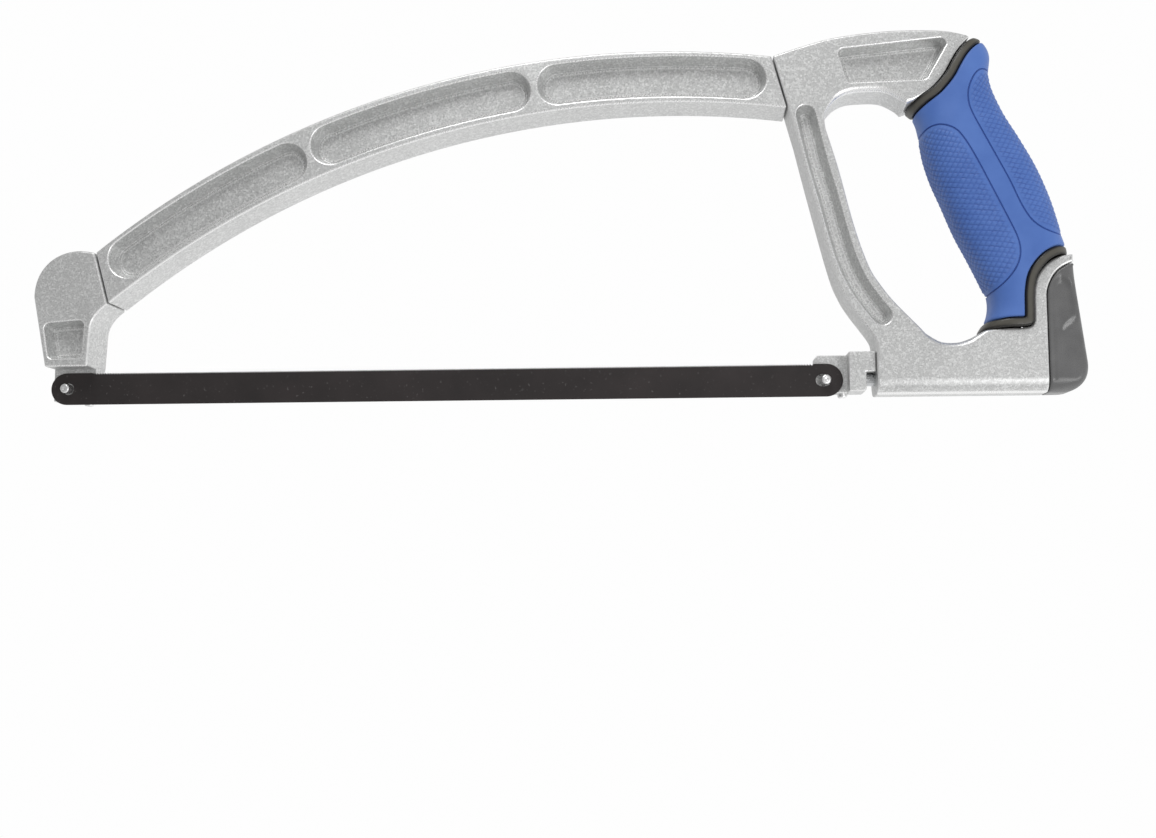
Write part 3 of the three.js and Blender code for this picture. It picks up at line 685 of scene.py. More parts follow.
def make_knob():
    clockwise = [
        (KNOB_FRONT_X, BLOCK_BOTTOM_Z), *KNOB_CURVE, (245.3, 24.7), (247.7, 5),
        *bezier_points([(247.7, 5), (248.4, -2), (244.2, BLOCK_BOTTOM_Z), (238, BLOCK_BOTTOM_Z)], 16),
    ]
    outline = Outline(clockwise[::-1], corner=0.5, fillet=3.0, seam_sides=[
        ([(KNOB_FRONT_X, BLOCK_BOTTOM_Z), (KNOB_FRONT_X, 30.5)], 0.6), (KNOB_CURVE, 0.7),
    ])
    outline.fillets = smoothed(outline.fillets, 3)
    thing = make_object("knob_shell", plate_shell(outline, -CAST_HALF, CAST_HALF))
    round_underside(thing, BLOCK_BOTTOM_Z, BLOCK_CORNER)
    press_dishes(thing)
    return thing


def smoothed(values, passes):
    for _ in range(passes):
        values = (np.roll(values, 1) + 2 * values + np.roll(values, -1)) / 4
    return values


DISH_GRID = 0.6                    # spacing of the cuts that let the dish curve
DISH_MIDDLE = (239.3, 18.5)        # where the dish's slanting lower end crosses its axis
DISH_TOP_Z = 37
DISH_HALF = 3.9
DISH_DEPTH = 1.5
DISH_EDGE = 0.8                    # how gradually its ends rise
KNOB_LINE_X = KNOB_FRONT_X + 1.6   # of the fine line behind the knob's front
KNOB_LINE = 0.35                   # its depth, and how far it spreads to either side


def press_dishes(thing):
    """Presses a shallow dish with a slanting lower end, and a fine line, into both sides."""
    work = bmesh.new()
    work.from_mesh(thing.data)
    for z in np.arange(-6, 44, DISH_GRID):
        cut_across(work, z, (0, 0, 1))
    for x in np.arange(KNOB_FRONT_X + 0.7, 247.6, DISH_GRID):
        cut_across(work, x, (1, 0, 0))
    for vertex in work.verts:
        x, y, z = vertex.co / MM
        if abs(y) < CAST_HALF - 3.2:
            continue
        lean = x - DISH_MIDDLE[0] + 0.12 * (z - 29)
        slant = z - DISH_MIDDLE[1] - 0.9 * (x - DISH_MIDDLE[0])
        low = 1 / (1 + math.exp(-slant / DISH_EDGE))
        high = 1 / (1 + math.exp((z - DISH_TOP_Z + abs(lean) * 0.6) / DISH_EDGE))
        wide = math.exp(-(abs(lean) / DISH_HALF)**4)
        hollow = DISH_DEPTH * wide * low * high * min(1.0, max(0.0, (z - 14) / 6) + 0.4)
        line = KNOB_LINE * math.exp(-((x - KNOB_LINE_X) / KNOB_LINE)**2) * (1 if -2 < z < 33 else 0)
        vertex.co.y -= math.copysign(hollow + line, y) * MM
    work.to_mesh(thing.data)
    work.free()
    smooth_faces(thing.data, SHARP_ANGLE)


# ---------------------------------------------------------------- grip

GRIP_BACK = [
    (199, 140), (207.5, 134.4), (212.6, 131.8), (215.6, 126), (215, 115.5), (219.4, 103.6),
    (225.6, 92.6), (231.6, 81.2), (236.5, 68.6), (240, 56), (242.2, 48.2), (243, 38), (243, 26),
    (243, 12),
]
GRIP_INSIDE = [
    (168, 127), (180.5, 108.5), (186.6, 102.4), (188.9, 94), (190.4, 86), (192.9, 77.6), (196.4, 68.9),
    (201.3, 56.5), (206.2, 46.5), (210.6, 37), (213, 30.5), (212.2, 23.2), (207.6, 15.7), (203, 6),
]
SWELL = 0.72                       # exponent of the grip's oval sections
GRIP_LENGTH, GRIP_GIRTH = 150, 96

FINGER_PANEL = [
    (182, 94.2), (187.6, 94.7), (190.6, 96.4), (194, 96.9), (197.5, 95.9), (200.3, 94.2), (202.5, 91.6),
    (205.2, 87.1), (208.6, 80.4), (212, 73.2), (215.4, 66), (218.4, 59.6), (221.2, 53.5), (222.4, 49.5),
    (222.6, 45.3), (221.1, 40.7), (217.6, 36), (213.4, 32.5), (209.2, 30.2), (204, 29),
]
PALM_PANEL = [
    (222, 118.6), (215.3, 118.6), (212.8, 118.5), (210.3, 118.1), (208.2, 116.3), (206.3, 112.9),
    (205.2, 109.1), (205.3, 104.4), (206.7, 100.1), (209.6, 94.1), (213, 87.2), (216.5, 80.2),
    (219.9, 73.2), (222.6, 66.8), (224.8, 62.4), (227.4, 58.6), (231.1, 55.8), (235.7, 54.2),
    (240, 53.8), (246, 53.6),
]


def swell(values):
    return np.sign(values) * np.abs(values)**SWELL


def even_angles(count):
    """Angles whose points lie evenly round an oval section of the grip."""
    dense = np.linspace(0, 2 * np.pi, 8001)
    x, y = 15.5 * swell(np.cos(dense)), 13 * swell(np.sin(dense))
    travel = np.concatenate([[0], np.cumsum(np.hypot(np.diff(x), np.diff(y)))])
    return np.interp(np.linspace(0, travel[-1], count, endpoint=False), travel, dense)


class GripForm:
    """The grip's surface: a share t of its length and an angle round it give a point."""

    DENSE = 1300

    def __init__(self):
        self.inside = curve_points(GRIP_INSIDE, self.DENSE)
        self.back = curve_points(GRIP_BACK, self.DENSE)
        self.t = np.linspace(0, 1, self.DENSE + 1)

    def point(self, t, angle, below=0.0):
        inner = np.stack([np.interp(t, self.t, self.inside[:, k]) for k in (0, 1)], -1)
        outer = np.stack([np.interp(t, self.t, self.back[:, k]) for k in (0, 1)], -1)
        depth = np.linalg.norm(outer - inner, axis=-1)
        bulge = np.sin(np.pi * t)
        half = GRIP_END_HALF + (GRIP_MIDDLE_HALF - GRIP_END_HALF) * bulge - below
        across = (depth / 2 - below) * swell(np.cos(angle)) / depth + 0.5
        flat = inner + (outer - inner) * across[..., None]
        return np.stack([flat[..., 0], half * swell(np.sin(angle)), flat[..., 1]], -1)


class GripPatch:
    """A part of the grip's surface in triangles, which can be divided along level lines.

    Each point is kept as its share of the length and its angle; level lines come from a field
    over the (x, z) of the points.
    """

    def __init__(self, form, spacing):
        self.form = form
        rows = int(GRIP_LENGTH / spacing)
        angles = even_angles(int(GRIP_GIRTH / spacing))
        count = len(angles)
        shares = np.linspace(0.03, 0.97, rows)
        self.t = np.repeat(shares, count)
        self.angle = np.tile(angles, rows)
        row, column = np.meshgrid(np.arange(rows - 1), np.arange(count), indexing="ij")
        a = (row * count + column).ravel()
        b = (row * count + (column + 1) % count).ravel()
        c, d = a + count, b + count
        self.faces = np.concatenate([np.stack([a, c, d], 1), np.stack([a, d, b], 1)])

    def flat(self):
        return self.form.point(self.t, self.angle)[:, [0, 2]]

    def divide(self, field, level):
        """Adds edges along the line where the field has the level."""
        values = field(self.flat())
        above = values >= level
        kinds = above[self.faces].sum(1)
        mixed = (kinds == 1) | (kinds == 2)
        t, angle = list(self.t), list(self.angle)
        made = {}

        def between(i, j):
            key = (min(i, j), max(i, j))
            if key not in made:
                share = (level - values[i]) / (values[j] - values[i])
                turn = (self.angle[j] - self.angle[i] + math.pi) % (2 * math.pi) - math.pi
                t.append(self.t[i] + share * (self.t[j] - self.t[i]))
                angle.append(self.angle[i] + share * turn)
                made[key] = len(t) - 1
            return made[key]

        divided = []
        for face in self.faces[mixed]:
            states = above[face]
            alone = int(np.nonzero(states == (states.sum() == 1))[0][0])
            p, q, r = (int(face[(alone + k) % 3]) for k in range(3))
            u, v = between(p, q), between(p, r)
            divided += [(p, u, v), (u, q, r), (u, r, v)]
        self.faces = np.concatenate([self.faces[~mixed], np.array(divided, int).reshape(-1, 3)])
        self.t, self.angle = np.array(t), np.array(angle)

    def keep_above(self, field, level):
        self.divide(field, level)
        values = field(self.flat())
        self.faces = self.faces[values[self.faces].mean(1) > level + 1e-7]
        used, numbers = np.unique(self.faces, return_inverse=True)
        self.faces = numbers.reshape(-1, 3)
        self.t, self.angle = self.t[used], self.angle[used]

    def normals(self):
        """Outward normals, from small steps along the surface."""
        step = 1e-3
        point = self.form.point
        along = point(self.t + step, self.angle) - point(self.t - step, self.angle)
        around = point(self.t, self.angle + step) - point(self.t, self.angle - step)
        normals = np.cross(along, around)
        return normals / np.linalg.norm(normals, axis=1)[:, None]

    def shell(self, lift, below, light_and_wear):
        """A closed body between the lifted surface and the form that lies below it."""
        outer = self.form.point(self.t, self.angle) + self.normals() * lift[:, None]
        inner = self.form.point(self.t, self.angle, below)
        shell = Shell()
        shell.points = [tuple(p) for p in outer] + [tuple(p) for p in inner]
        shell.painted_light_and_wear = [float(w) for w in light_and_wear] + [0.0] * len(inner)
        count = len(outer)
        faces = [tuple(int(n) for n in face) for face in self.faces]
        sides = {(face[k], face[(k + 1) % 3]) for face in faces for k in range(3)}
        shell.faces = faces + [(a + count, c + count, b + count) for a, b, c in faces]
        for a, b in sides:
            if (b, a) not in sides:
                shell.faces.append((b, a, a + count, b + count))
        return shell


def long_line(points, count):
    """A seam that runs on straight beyond both of its ends."""
    line = curve_points(points, count)
    first = line[0] + 40 * (line[0] - line[1])
    last = line[-1] + 40 * (line[-1] - line[-2])
    return np.concatenate([[first], line, [last]])


def seam_distance(flat):
    """How far points lie inside the grip's region, from the nearer of its two seams."""
    upper = distance_to_line(flat, long_line(UPPER_SEAM, 60))[1]
    lower = distance_to_line(flat, long_line(LOWER_SEAM, 70))[1]
    return np.minimum(-upper, lower)


def panel_distance(panel, side):
    """A field: the distance inside a panel's border, negative outside it."""
    line = curve_points(panel, 70)
    return lambda flat: distance_to_line(flat, line)[1] * side


GROOVE_HALF = 0.38                 # half the width of the line round each panel
GROOVE_DEPTH = 0.55
EDGE_ROLL = 0.9                    # radius of the cover's rolled edges


def make_cover(form):
    patch = GripPatch(form, 0.42 if FINE else 1.2)
    patch.keep_above(seam_distance, RIM_WIDTH)
    for step in (0.12, 0.35, EDGE_ROLL):
        patch.divide(seam_distance, RIM_WIDTH + step)
    fields = [panel_distance(FINGER_PANEL, -1), panel_distance(PALM_PANEL, 1)]
    for field in fields:
        for level in (-GROOVE_HALF, -0.12, 0.12, GROOVE_HALF):
            patch.divide(field, level)
    flat = patch.flat()
    edge = seam_distance(flat) - RIM_WIDTH
    lift = np.sqrt(np.maximum(EDGE_ROLL**2 - np.maximum(EDGE_ROLL - edge, 0)**2, 0)) - EDGE_ROLL
    pattern = knurl(form, patch.t, patch.angle)
    # hollow is painted shade: the rubber is painted darker in the grooves round the panels and in the
    # knurl's low valleys
    hollow = np.zeros(len(lift))
    for field in fields:
        distance = field(flat)
        groove = np.clip((GROOVE_HALF - np.abs(distance)) / (GROOVE_HALF - 0.12), 0, 1)
        knurled = np.clip((distance - 0.9) / 1.2, 0, 1)
        lift += KNURL_HEIGHT * knurled * pattern - GROOVE_DEPTH * groove
        hollow += 0.6 * groove + knurled * (0.75 * np.clip(1 - 1.6 * pattern, 0, 1))
    return make_object("grip_skin", patch.shell(lift, COVER_WALL, hollow), sharp_angle=50, weighted=False)


KNURL_PITCH = 1.9
KNURL_HEIGHT = 0.4
KNURL_ALONG, KNURL_AROUND = 0.85, 0.53   # direction of its lines
GRIP_AXIS = np.array([0.45, -0.893])   # direction of the grip's length in X and Z


def knurl(form, t, angle):
    """Height of the diamond pattern, from 0 to 1."""
    point = form.point(t, angle)
    along = point[:, [0, 2]] @ GRIP_AXIS
    dense = np.linspace(0, 2 * np.pi, 2001)
    ring = form.point(np.full_like(dense, 0.5), dense)
    travel = np.concatenate([[0], np.cumsum(np.linalg.norm(np.diff(ring, axis=0), axis=1))])
    around = np.abs(np.interp(angle % (2 * np.pi), dense, travel) - travel[-1] / 2)
    up, down = along * KNURL_ALONG + around * KNURL_AROUND, along * KNURL_ALONG - around * KNURL_AROUND
    ridges = [np.abs(np.sin(np.pi * line / KNURL_PITCH)) for line in (up, down)]
    return np.minimum(*ridges) ** 0.8


LINER_RIM = [                      # (distance from the seam, height over the grip's surface)
    (0.3, -2.6), (0.36, -0.75), (0.5, -0.35), (0.75, -0.08), (1.05, 0.05), (1.9, 0.12), (2.8, 0.12),
    (3.2, 0.0), (3.45, -0.25), (3.62, -0.6), (3.8, -1.2), (4.1, -2.1), (4.6, -2.2),
]


def make_liner(form):
    patch = GripPatch(form, 0.9 if FINE else 1.8)
    patch.keep_above(seam_distance, LINER_RIM[0][0])
    for distance, _ in LINER_RIM[1:]:
        patch.divide(seam_distance, distance)
    distances, heights = zip(*LINER_RIM)
    lift = np.interp(seam_distance(patch.flat()), distances, heights)
    # painted highlight on the crown of the rims, where they stand proud of the grip
    painted_highlight = np.clip(lift / 0.1, 0, 1)
    return make_object("grip_bezel", patch.shell(lift, LINER_DEPTH, painted_highlight), sharp_angle=60, weighted=False)


# ---------------------------------------------------------------- blade and pins


def make_blade():
    """A strip with round ends and fine teeth in a wavy set along its upper edge."""
    radius = BLADE_WIDTH / 2
    end = HALF_SPACING + 0.6
    root_z = radius - TOOTH_DEPTH
    teeth = int((LAST_TOOTH_X - FIRST_TOOTH_X) / TOOTH_PITCH)
    roots = [FIRST_TOOTH_X + k * TOOTH_PITCH for k in range(teeth + 1)]
    outline = [
        *arc_points((-end, 0), radius, math.pi / 2, 3 * math.pi / 2, 24),
        *arc_points((end, 0), radius, -math.pi / 2, math.pi / 2, 24),
        (roots[-1] + 0.4, radius), *[(x, root_z) for x in roots[::-1]], (roots[0] - 0.4, radius),
    ]
    rear = [HALF_SPACING - SLACK, HALF_SPACING - SLACK / 2, HALF_SPACING]
    holes = [
        arc_points((-HALF_SPACING, 0), BLADE_HOLE_RADIUS, 0, 2 * math.pi, 36)[:-1],
        slot_outline([(x, 0) for x in rear], BLADE_HOLE_RADIUS)(0),
    ]
    shell = Shell()
    sides = []
    for y, far in ((BLADE_Y[0], False), (BLADE_Y[1], True)):
        loops = [shell.ring(np.array(outline), y)] + [shell.ring(np.array(h), y) for h in holes]
        shell.cap(loops, far=far)
        sides.append(loops)
    near, far = sides
    start = len(outline) - 1 - len(roots)
    shell.bridge(near[1], far[1], inward=True)
    shell.bridge(near[2], far[2], inward=True)
    count = len(outline)
    tooth_sides = set(range(start, start + len(roots) - 1))
    for i in range(count):
        if i in tooth_sides:
            continue
        j = (i + 1) % count
        shell.faces.append((near[0][i], far[0][i], far[0][j], near[0][j]))
    add_teeth(shell, near[0], far[0], sorted(tooth_sides), radius)
    return make_object("saw_blade", shell, sharp_angle=25)


def add_teeth(shell, near, far, sides, radius):
    """Each side of the outline between two roots carries one tooth with a flat rake face."""
    for number, i in enumerate(sides):
        rear_near, front_near = near[i], near[i + 1]
        rear_far, front_far = far[i], far[i + 1]
        x = shell.points[front_near][0] + TIP_BEHIND_ROOT * TOOTH_PITCH
        set_over = TOOTH_SET * math.sin(2 * math.pi * number / TEETH_PER_WAVE)
        tips = []
        for y in BLADE_Y:
            tips.append(len(shell.points))
            shell.points.append((x, y + set_over, radius))
            shell.painted_light_and_wear.append(1.0)
        near_tip, far_tip = tips
        shell.faces.extend([
            (front_near, rear_near, near_tip), (rear_far, front_far, far_tip),
            (rear_near, rear_far, far_tip, near_tip), (near_tip, far_tip, front_far, front_near),
        ])


PIN_RADIUS = 1.9
PIN_LEAN = math.radians(6)
PIN_REACH = 4.2                    # of a side pin, from the castings' mid-plane towards -Y
PIN_ROOT = 5.9                     # how far it is sunk on the other side
DOWN_PIN_TOP_Z = 4.9
DOWN_PIN_TIP_Z = -6.6
DOWN_PIN_Y = 3.6
DOWN_PIN_OFFSET = 7                # from a side pin to the down pin of the same seat


def make_pins():
    """The four leaning blade pins: two in use at the sides and two for the blade turned flat."""
    pins = []
    middle = sum(BLADE_Y) / 2
    for side, end in (("front", -1), ("rear", 1)):
        across = lambda y: (end * (HALF_SPACING + math.tan(PIN_LEAN) * (middle - y)), y, 0)
        side_pin = pin_object(f"{side}_side_pin_turned", across(PIN_ROOT), across(-PIN_REACH))
        pins.append((side_pin, f"{side}_side_pin"))
        x = end * HALF_SPACING + DOWN_PIN_OFFSET
        down = lambda z: (x + end * math.tan(PIN_LEAN) * (-5 - z), DOWN_PIN_Y, z)
        down_pin = pin_object(f"{side}_down_pin_turned", down(DOWN_PIN_TOP_Z), down(DOWN_PIN_TIP_Z))
        pins.append((down_pin, f"{side}_down_pin"))
    return pins


def pin_object(name, root, tip):
    length = math.dist(root, tip)
    radius = PIN_RADIUS
    rounding = [
        (length - 0.7 + 0.7 * math.sin(a), radius - 0.75 + 0.75 * math.cos(a))
        for a in np.linspace(0, math.pi / 2, 7)
    ]
    dimple = [(length, 0.75), (length - 0.05, 0.6), (length - 0.22, 0.3), (length - 0.25, 0.02)]
    return make_object(name, turned_shell(root, tip, [(0, radius), *rounding, *dimple]))


# ---------------------------------------------------------------- materials


def set_inputs(node, values):
    for name, value in values.items():
        node.inputs[name].default_value = value


def map_range(nodes, start, end, low, high):
    """A node that turns start..end into low..high."""
    node = nodes.new("ShaderNodeMapRange")
    set_inputs(node, {"From Min": start, "From Max": end, "To Min": low, "To Max": high})
    return node


class Paint:
    """A material and short calls for the nodes in it."""

    def __init__(self, name, metallic, roughness):
        self.material = bpy.data.materials.new(name)
        self.material.use_nodes = True
        self.nodes = self.material.node_tree.nodes
        self.links = self.material.node_tree.links
        self.surface = self.nodes["Principled BSDF"]
        set_inputs(self.surface, {"Metallic": metallic, "Roughness": roughness})
        self.place = self.nodes.new("ShaderNodeTexCoord").outputs["Object"]

    def put(self, socket, value):
        if isinstance(value, bpy.types.NodeSocket):
            self.links.new(value, socket)
        else:
            socket.default_value = value

    def noise(self, size, detail=3.0, roughness=0.55):
        """Noise whose grains are about size millimetres wide."""
        node = self.nodes.new("ShaderNodeTexNoise")
        set_inputs(node, {"Scale": 1 / (size * MM), "Detail": detail, "Roughness": roughness})
        self.links.new(self.place, node.inputs["Vector"])
        return node.outputs["Fac"]

    def cells(self, size):
        node = self.nodes.new("ShaderNodeTexVoronoi")
        node.inputs["Scale"].default_value = 1 / (size * MM)
        self.links.new(self.place, node.inputs["Vector"])
        split = self.nodes.new("ShaderNodeSeparateColor")
        self.links.new(node.outputs["Color"], split.inputs[0])
        return split.outputs[0]

    def spread(self, value, low, high, start=0.3, end=0.7):
        """Maps a value between start and end to one between low and high."""
        node = map_range(self.nodes, start, end, low, high)
        self.put(node.inputs["Value"], value)
        return node.outputs["Result"]

    def maths(self, operation, a, b):
        node = self.nodes.new("ShaderNodeMath")
        node.operation = operation
        self.put(node.inputs[0], a)
        self.put(node.inputs[1], b)
        return node.outputs[0]

    def mix(self, share, a, b):
        node = self.nodes.new("ShaderNodeMix")
        node.data_type = "RGBA"
        self.put(node.inputs["Factor"], share)
        self.put(node.inputs[6], a)
        self.put(node.inputs[7], b)
        return node.outputs[2]

    def attribute(self, name):
        node = self.nodes.new("ShaderNodeAttribute")
        node.attribute_name = name
        return node.outputs["Fac"]

    def bump(self, height, depth, strength=1.0):
        """Bump of a height field, depth millimetres deep."""
        node = self.nodes.new("ShaderNodeBump")
        set_inputs(node, {"Strength": strength, "Distance": depth * MM})
        self.links.new(height, node.inputs["Height"])
        self.links.new(node.outputs["Normal"], self.surface.inputs["Normal"])

    def colour(self, value):
        self.put(self.surface.inputs["Base Color"], value)

    def rough(self, value):
        self.put(self.surface.inputs["Roughness"], value)


def cast_paint():
    """Blasted die-cast aluminium: fine bright grain, darker specks, and edges painted near-white: painted
    highlight, partly rubbed metal.
    """
    paint = Paint("blasted casting", 0.68, 0.45)
    grain = paint.noise(0.5, 2.0, 0.6)
    cloud = paint.noise(28, 2)
    flake = paint.cells(0.7)
    body = paint.mix(paint.spread(cloud, 0, 1), (0.61, 0.615, 0.61, 1), (0.68, 0.685, 0.68, 1))
    lit = paint.mix(paint.spread(flake, 0, 0.7, 0.4, 1.0), body, (0.95, 0.955, 0.95, 1))
    dull = paint.mix(paint.spread(grain, 0.55, 0, 0.34, 0.52), lit, (0.32, 0.32, 0.32, 1))
    # edges painted near-white and made smoother: painted highlight, partly rubbed metal
    light_and_wear = paint.maths("MULTIPLY", paint.attribute("painted_light_and_wear"), 0.9)
    paint.colour(paint.mix(light_and_wear, dull, (0.97, 0.97, 0.965, 1)))
    paint.rough(paint.maths("SUBTRACT", paint.spread(grain, 0.38, 0.56), paint.maths("MULTIPLY", light_and_wear, 0.2)))
    paint.bump(grain, 0.06, 0.6)
    return paint.material


def rubber_paint():
    """Soft blue grip rubber: matt, with faint handling marks, and painted shade, a darker blue, in the
    grooves round the panels and in the knurl's valleys.
    """
    paint = Paint("grip rubber", 0.0, 0.55)
    cloud = paint.noise(14, 3)
    fine = paint.noise(0.5, 3)
    skin = paint.mix(paint.spread(cloud, 0, 1), (0.064, 0.156, 0.49, 1), (0.092, 0.200, 0.57, 1))
    # painted shade: darker blue in the grooves and the knurl's valleys
    paint.colour(paint.mix(paint.attribute("painted_light_and_wear"), skin, (0.026, 0.078, 0.33, 1)))
    paint.rough(paint.spread(fine, 0.46, 0.62))
    paint.bump(fine, 0.03, 0.5)
    paint.surface.inputs["Sheen Weight"].default_value = 0.12
    return paint.material


def liner_paint():
    """Hard black-brown plastic, with a painted highlight, a dull olive, on top of the rims."""
    paint = Paint("liner plastic", 0.0, 0.38)
    cloud = paint.noise(6, 3)
    fine = paint.noise(0.35, 2)
    dark = paint.mix(paint.spread(cloud, 0, 1), (0.010, 0.009, 0.008, 1), (0.020, 0.018, 0.015, 1))
    # painted highlight: dull olive on the rims' crowns
    paint.colour(paint.mix(paint.attribute("painted_light_and_wear"), dark, (0.085, 0.080, 0.066, 1)))
    paint.rough(paint.spread(fine, 0.32, 0.44))
    paint.bump(fine, 0.02, 0.4)
    return paint.material


def knob_paint():
    """Moulded black nylon with a satin skin."""
    paint = Paint("knob plastic", 0.0, 0.35)
    cloud = paint.noise(9, 3)
    fine = paint.noise(0.45, 3)
    paint.colour(paint.mix(paint.spread(cloud, 0, 1), (0.12, 0.12, 0.121, 1), (0.16, 0.16, 0.161, 1)))
    paint.rough(paint.spread(fine, 0.24, 0.34))
    paint.bump(fine, 0.03, 0.5)
    return paint.material


def blade_paint():
    """Black-brown lacquer on the strip, rubbed thin at the tooth tips."""
    paint = Paint("blade lacquer", 0.25, 0.5)
    cloud = paint.noise(22, 4)
    fine = paint.noise(0.5, 3)
    scratch = paint.noise(1.2, 2)
    body = paint.mix(paint.spread(cloud, 0, 1), (0.022, 0.018, 0.018, 1), (0.036, 0.029, 0.029, 1))
    speck = paint.mix(paint.spread(scratch, 0, 0.5, 0.66, 0.74), body, (0.16, 0.15, 0.15, 1))
    light_and_wear = paint.maths("MULTIPLY", paint.attribute("painted_light_and_wear"), 0.1)
    paint.colour(paint.mix(light_and_wear, speck, (0.30, 0.29, 0.28, 1)))
    paint.rough(paint.spread(fine, 0.42, 0.60))
    paint.bump(fine, 0.015, 0.5)
    return paint.material


def metal_paint(name, dark, light, roughness):
    paint = Paint(name, 1.0, roughness)
    fine = paint.noise(0.4, 3)
    paint.colour(paint.mix(paint.spread(fine, 0, 1), dark, light))
    paint.rough(paint.spread(fine, roughness - 0.06, roughness + 0.08))
    paint.bump(fine, 0.02, 0.4)
    return paint.material


# ---------------------------------------------------------------- putting it together


def dress(thing, material, body, slot, *replaced):
    thing.data.transform(Matrix.Translation(blade_middle()))
    thing.data.materials.clear()
    thing.data.materials.append(material)
    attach(thing, body)
    if replaced:
        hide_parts(*replaced)


def repaint(material, *names):
    for name in names:
        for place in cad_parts[name].material_slots:
            place.material = material


def build_saw():
    cast, rubber, liner = cast_paint(), rubber_paint(), liner_paint()
    knob, lacquer = knob_paint(), blade_paint()
    steel = metal_paint("turned steel", (0.52, 0.53, 0.54, 1), (0.66, 0.67, 0.68, 1), 0.26)
    pin_steel = metal_paint("pin steel", (0.86, 0.86, 0.86, 1), (0.98, 0.98, 0.98, 1), 0.34)
    spring = metal_paint("spring wire", (0.30, 0.30, 0.31, 1), (0.42, 0.42, 0.43, 1), 0.30)
    bronze = metal_paint("sintered bronze", (0.42, 0.25, 0.10, 1), (0.56, 0.36, 0.17, 1), 0.42)

    dress(make_bow(), cast, "bow", "cast_alloy", "bow")
    dress(make_nose(), cast, "nose", "cast_alloy", "nose")
    dress(make_handle(), cast, "handle", "cast_alloy", "handle_frame")
    dress(make_holder(), cast, "holder", "cast_alloy", "rear_blade_holder")
    form = GripForm()
    dress(make_cover(form), rubber, "handle", "blue_grip", "grip_cover")
    dress(make_liner(form), liner, "handle", "black_liner", "grip_liner")
    dress(make_knob(), knob, "knob", "black_knob", "tension_knob")
    dress(make_blade(), lacquer, "blade", "blade_steel", "blade")
    for pin, node in make_pins():
        dress(pin, pin_steel, "nose" if node.startswith("front") else "holder", "pin_steel", node)

    repaint(steel, "knob_thread_insert", "thrust_washer", "tension_rod", "rod_retaining_ring",
            "spring_seat_washer", "front_swivel_stud", "rear_swivel_stud")
    repaint(spring, "tension_spring", "front_swivel_washer", "rear_swivel_washer")
    repaint(pin_steel, "front_stud_pin", "rear_stud_pin")
    repaint(bronze, "rod_guide_bush", "front_swivel_bush", "rear_swivel_bush")


# ---------------------------------------------------------------- studio

TENT = [                           # (axis, from, to, level at from, level at to)
    ("X", -0.9, 0.3, 0.55, 1.0), ("Y", -1.0, 0.1, 0.5, 0.96),
    ("Z", -0.9, -0.1, 1.05, 1.0), ("Z", 0.1, 0.8, 1.0, 0.5),
]
FLOOR_REACH = 9000
FLOOR_DROP = 0.1                   # of the floor below the lowest point of the saw


def make_floor():
    """A pale floor, seen from above only: the camera of the main view stands slightly below it.

    It shows the saw's shadow but is left out of the light that reaches the saw.
    """
    mesh = bpy.data.meshes.new("studio_floor")
    corners = [
        (-FLOOR_REACH, -FLOOR_REACH), (FLOOR_REACH, -FLOOR_REACH),
        (FLOOR_REACH, FLOOR_REACH), (-FLOOR_REACH, FLOOR_REACH),
    ]
    level = cad_box[0].z - FLOOR_DROP * MM
    mesh.from_pydata([(x * MM, y * MM, level) for x, y in corners], [], [(0, 1, 2, 3)])
    floor = bpy.data.objects.new("studio_floor", mesh)
    bpy.context.scene.collection.objects.link(floor)
    floor.visible_shadow = False
    floor.visible_diffuse = False
    floor.visible_glossy = False
    material = bpy.data.materials.new("pale floor")
    material.use_nodes = True
    nodes, links = material.node_tree.nodes, material.node_tree.links
    surface = nodes["Principled BSDF"]
    set_inputs(surface, {"Base Color": (0.93, 0.93, 0.93, 1), "Roughness": 0.9})
    clear = nodes.new("ShaderNodeBsdfTransparent")
    under = nodes.new("ShaderNodeNewGeometry")
    blend = nodes.new("ShaderNodeMixShader")
    links.new(under.outputs["Backfacing"], blend.inputs[0])
    links.new(surface.outputs[0], blend.inputs[1])
    links.new(clear.outputs[0], blend.inputs[2])
    links.new(blend.outputs[0], nodes["Material Output"].inputs["Surface"])
    mesh.materials.append(material)


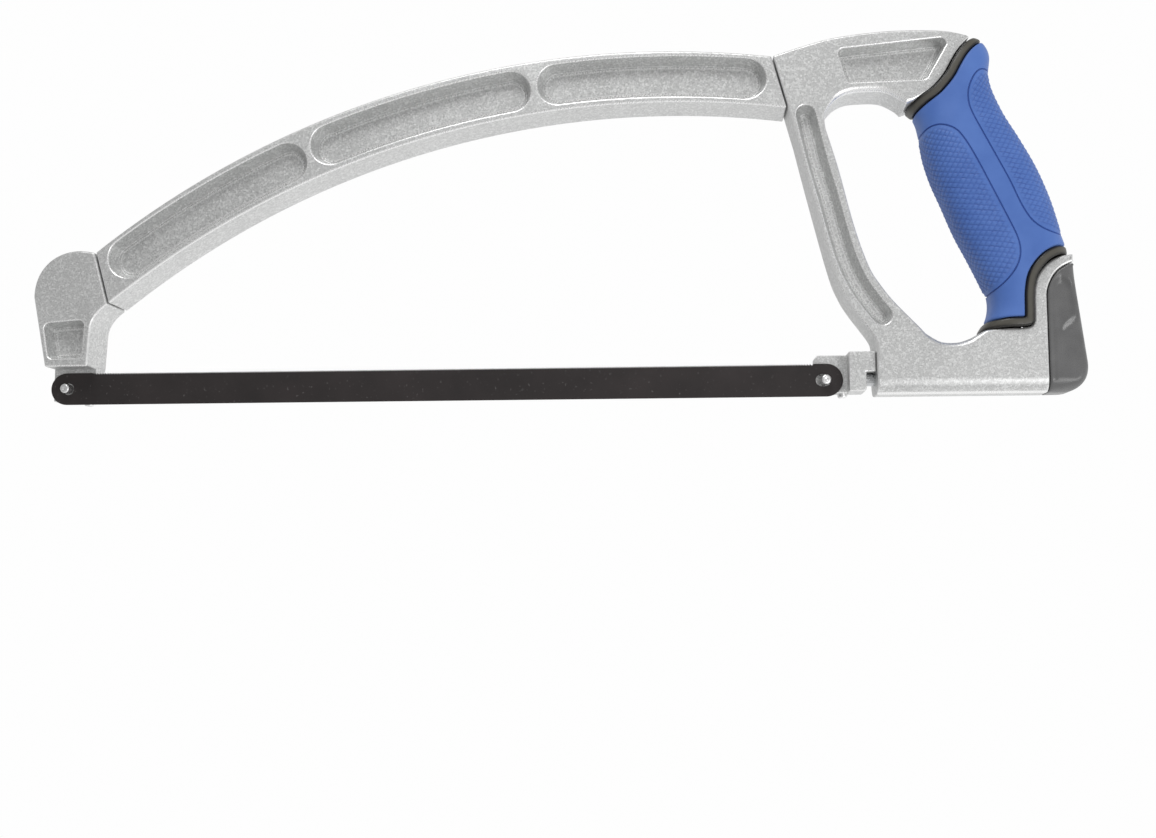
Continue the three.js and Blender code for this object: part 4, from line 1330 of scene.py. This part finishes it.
def make_world():
    """White to the camera; as a light it is a soft tent, dim at the front, the left and the top."""
    world = bpy.data.worlds.new("studio tent")
    bpy.context.scene.world = world
    world.use_nodes = True
    nodes, links = world.node_tree.nodes, world.node_tree.links
    nodes.clear()
    place = nodes.new("ShaderNodeTexCoord")
    split = nodes.new("ShaderNodeSeparateXYZ")
    links.new(place.outputs["Generated"], split.inputs[0])
    level = None
    for axis, start, end, low, high in TENT:
        fade = map_range(nodes, start, end, low, high)
        links.new(split.outputs[axis], fade.inputs["Value"])
        if level is None:
            level = fade.outputs[0]
            continue
        product = nodes.new("ShaderNodeMath")
        product.operation = "MULTIPLY"
        links.new(level, product.inputs[0])
        links.new(fade.outputs[0], product.inputs[1])
        level = product.outputs[0]
    tent = nodes.new("ShaderNodeBackground")
    tent.inputs["Color"].default_value = (1, 1, 1, 1)
    links.new(level, tent.inputs["Strength"])
    backdrop = nodes.new("ShaderNodeBackground")
    set_inputs(backdrop, {"Color": (0.99, 0.99, 0.99, 1), "Strength": 1.0})
    ray = nodes.new("ShaderNodeLightPath")
    blend = nodes.new("ShaderNodeMixShader")
    links.new(ray.outputs["Is Camera Ray"], blend.inputs[0])
    links.new(tent.outputs[0], blend.inputs[1])
    links.new(backdrop.outputs[0], blend.inputs[2])
    out = nodes.new("ShaderNodeOutputWorld")
    links.new(blend.outputs[0], out.inputs["Surface"])


def add_light(name, place, target, size, power):
    light = bpy.data.lights.new(name, "AREA")
    light.shape = "DISK"
    light.size = size
    light.energy = power
    thing = bpy.data.objects.new(name, light)
    thing.location = Vector(place)
    thing.rotation_euler = (Vector(target) - Vector(place)).to_track_quat("-Z", "Y").to_euler()
    bpy.context.scene.collection.objects.link(thing)


CAMERA_PLACE = (91.1, -539.5, -65.7)
CAMERA_YAW, CAMERA_PITCH, CAMERA_ROLL = math.radians(-3.89), math.radians(5.46), math.radians(-0.213)
CAMERA_LENS = 43.36


def make_camera():
    forward = Vector((
        math.sin(CAMERA_YAW) * math.cos(CAMERA_PITCH),
        math.cos(CAMERA_YAW) * math.cos(CAMERA_PITCH),
        math.sin(CAMERA_PITCH),
    ))
    right = forward.cross(Vector((0, 0, 1))).normalized()
    up = right.cross(forward)
    turn = Matrix.Rotation(-CAMERA_ROLL, 3, forward)
    right, up = turn @ right, turn @ up
    data = bpy.data.cameras.new("camera")
    data.lens = CAMERA_LENS
    data.sensor_width = 36
    data.clip_start = 0.01
    camera = bpy.data.objects.new("camera", data)
    axes = Matrix((right, up, -forward)).transposed().to_4x4()
    camera.matrix_world = Matrix.Translation(blade_middle() + Vector(CAMERA_PLACE) * MM) @ axes
    bpy.context.scene.collection.objects.link(camera)
    bpy.context.scene.camera = camera


def make_studio():
    make_floor()
    make_world()
    middle = (0.05, 0, 0.06)       # of the saw, in metres like the lights' places
    add_light("key", (-0.1, -0.65, 0.95), middle, 0.6, 5.4)
    add_light("low", (0.42, -0.52, -0.19), (0.2, 0, 0.03), 0.3, 0.95)
    make_camera()
    bpy.context.scene.view_settings.view_transform = "Standard"


build_saw()
make_studio()
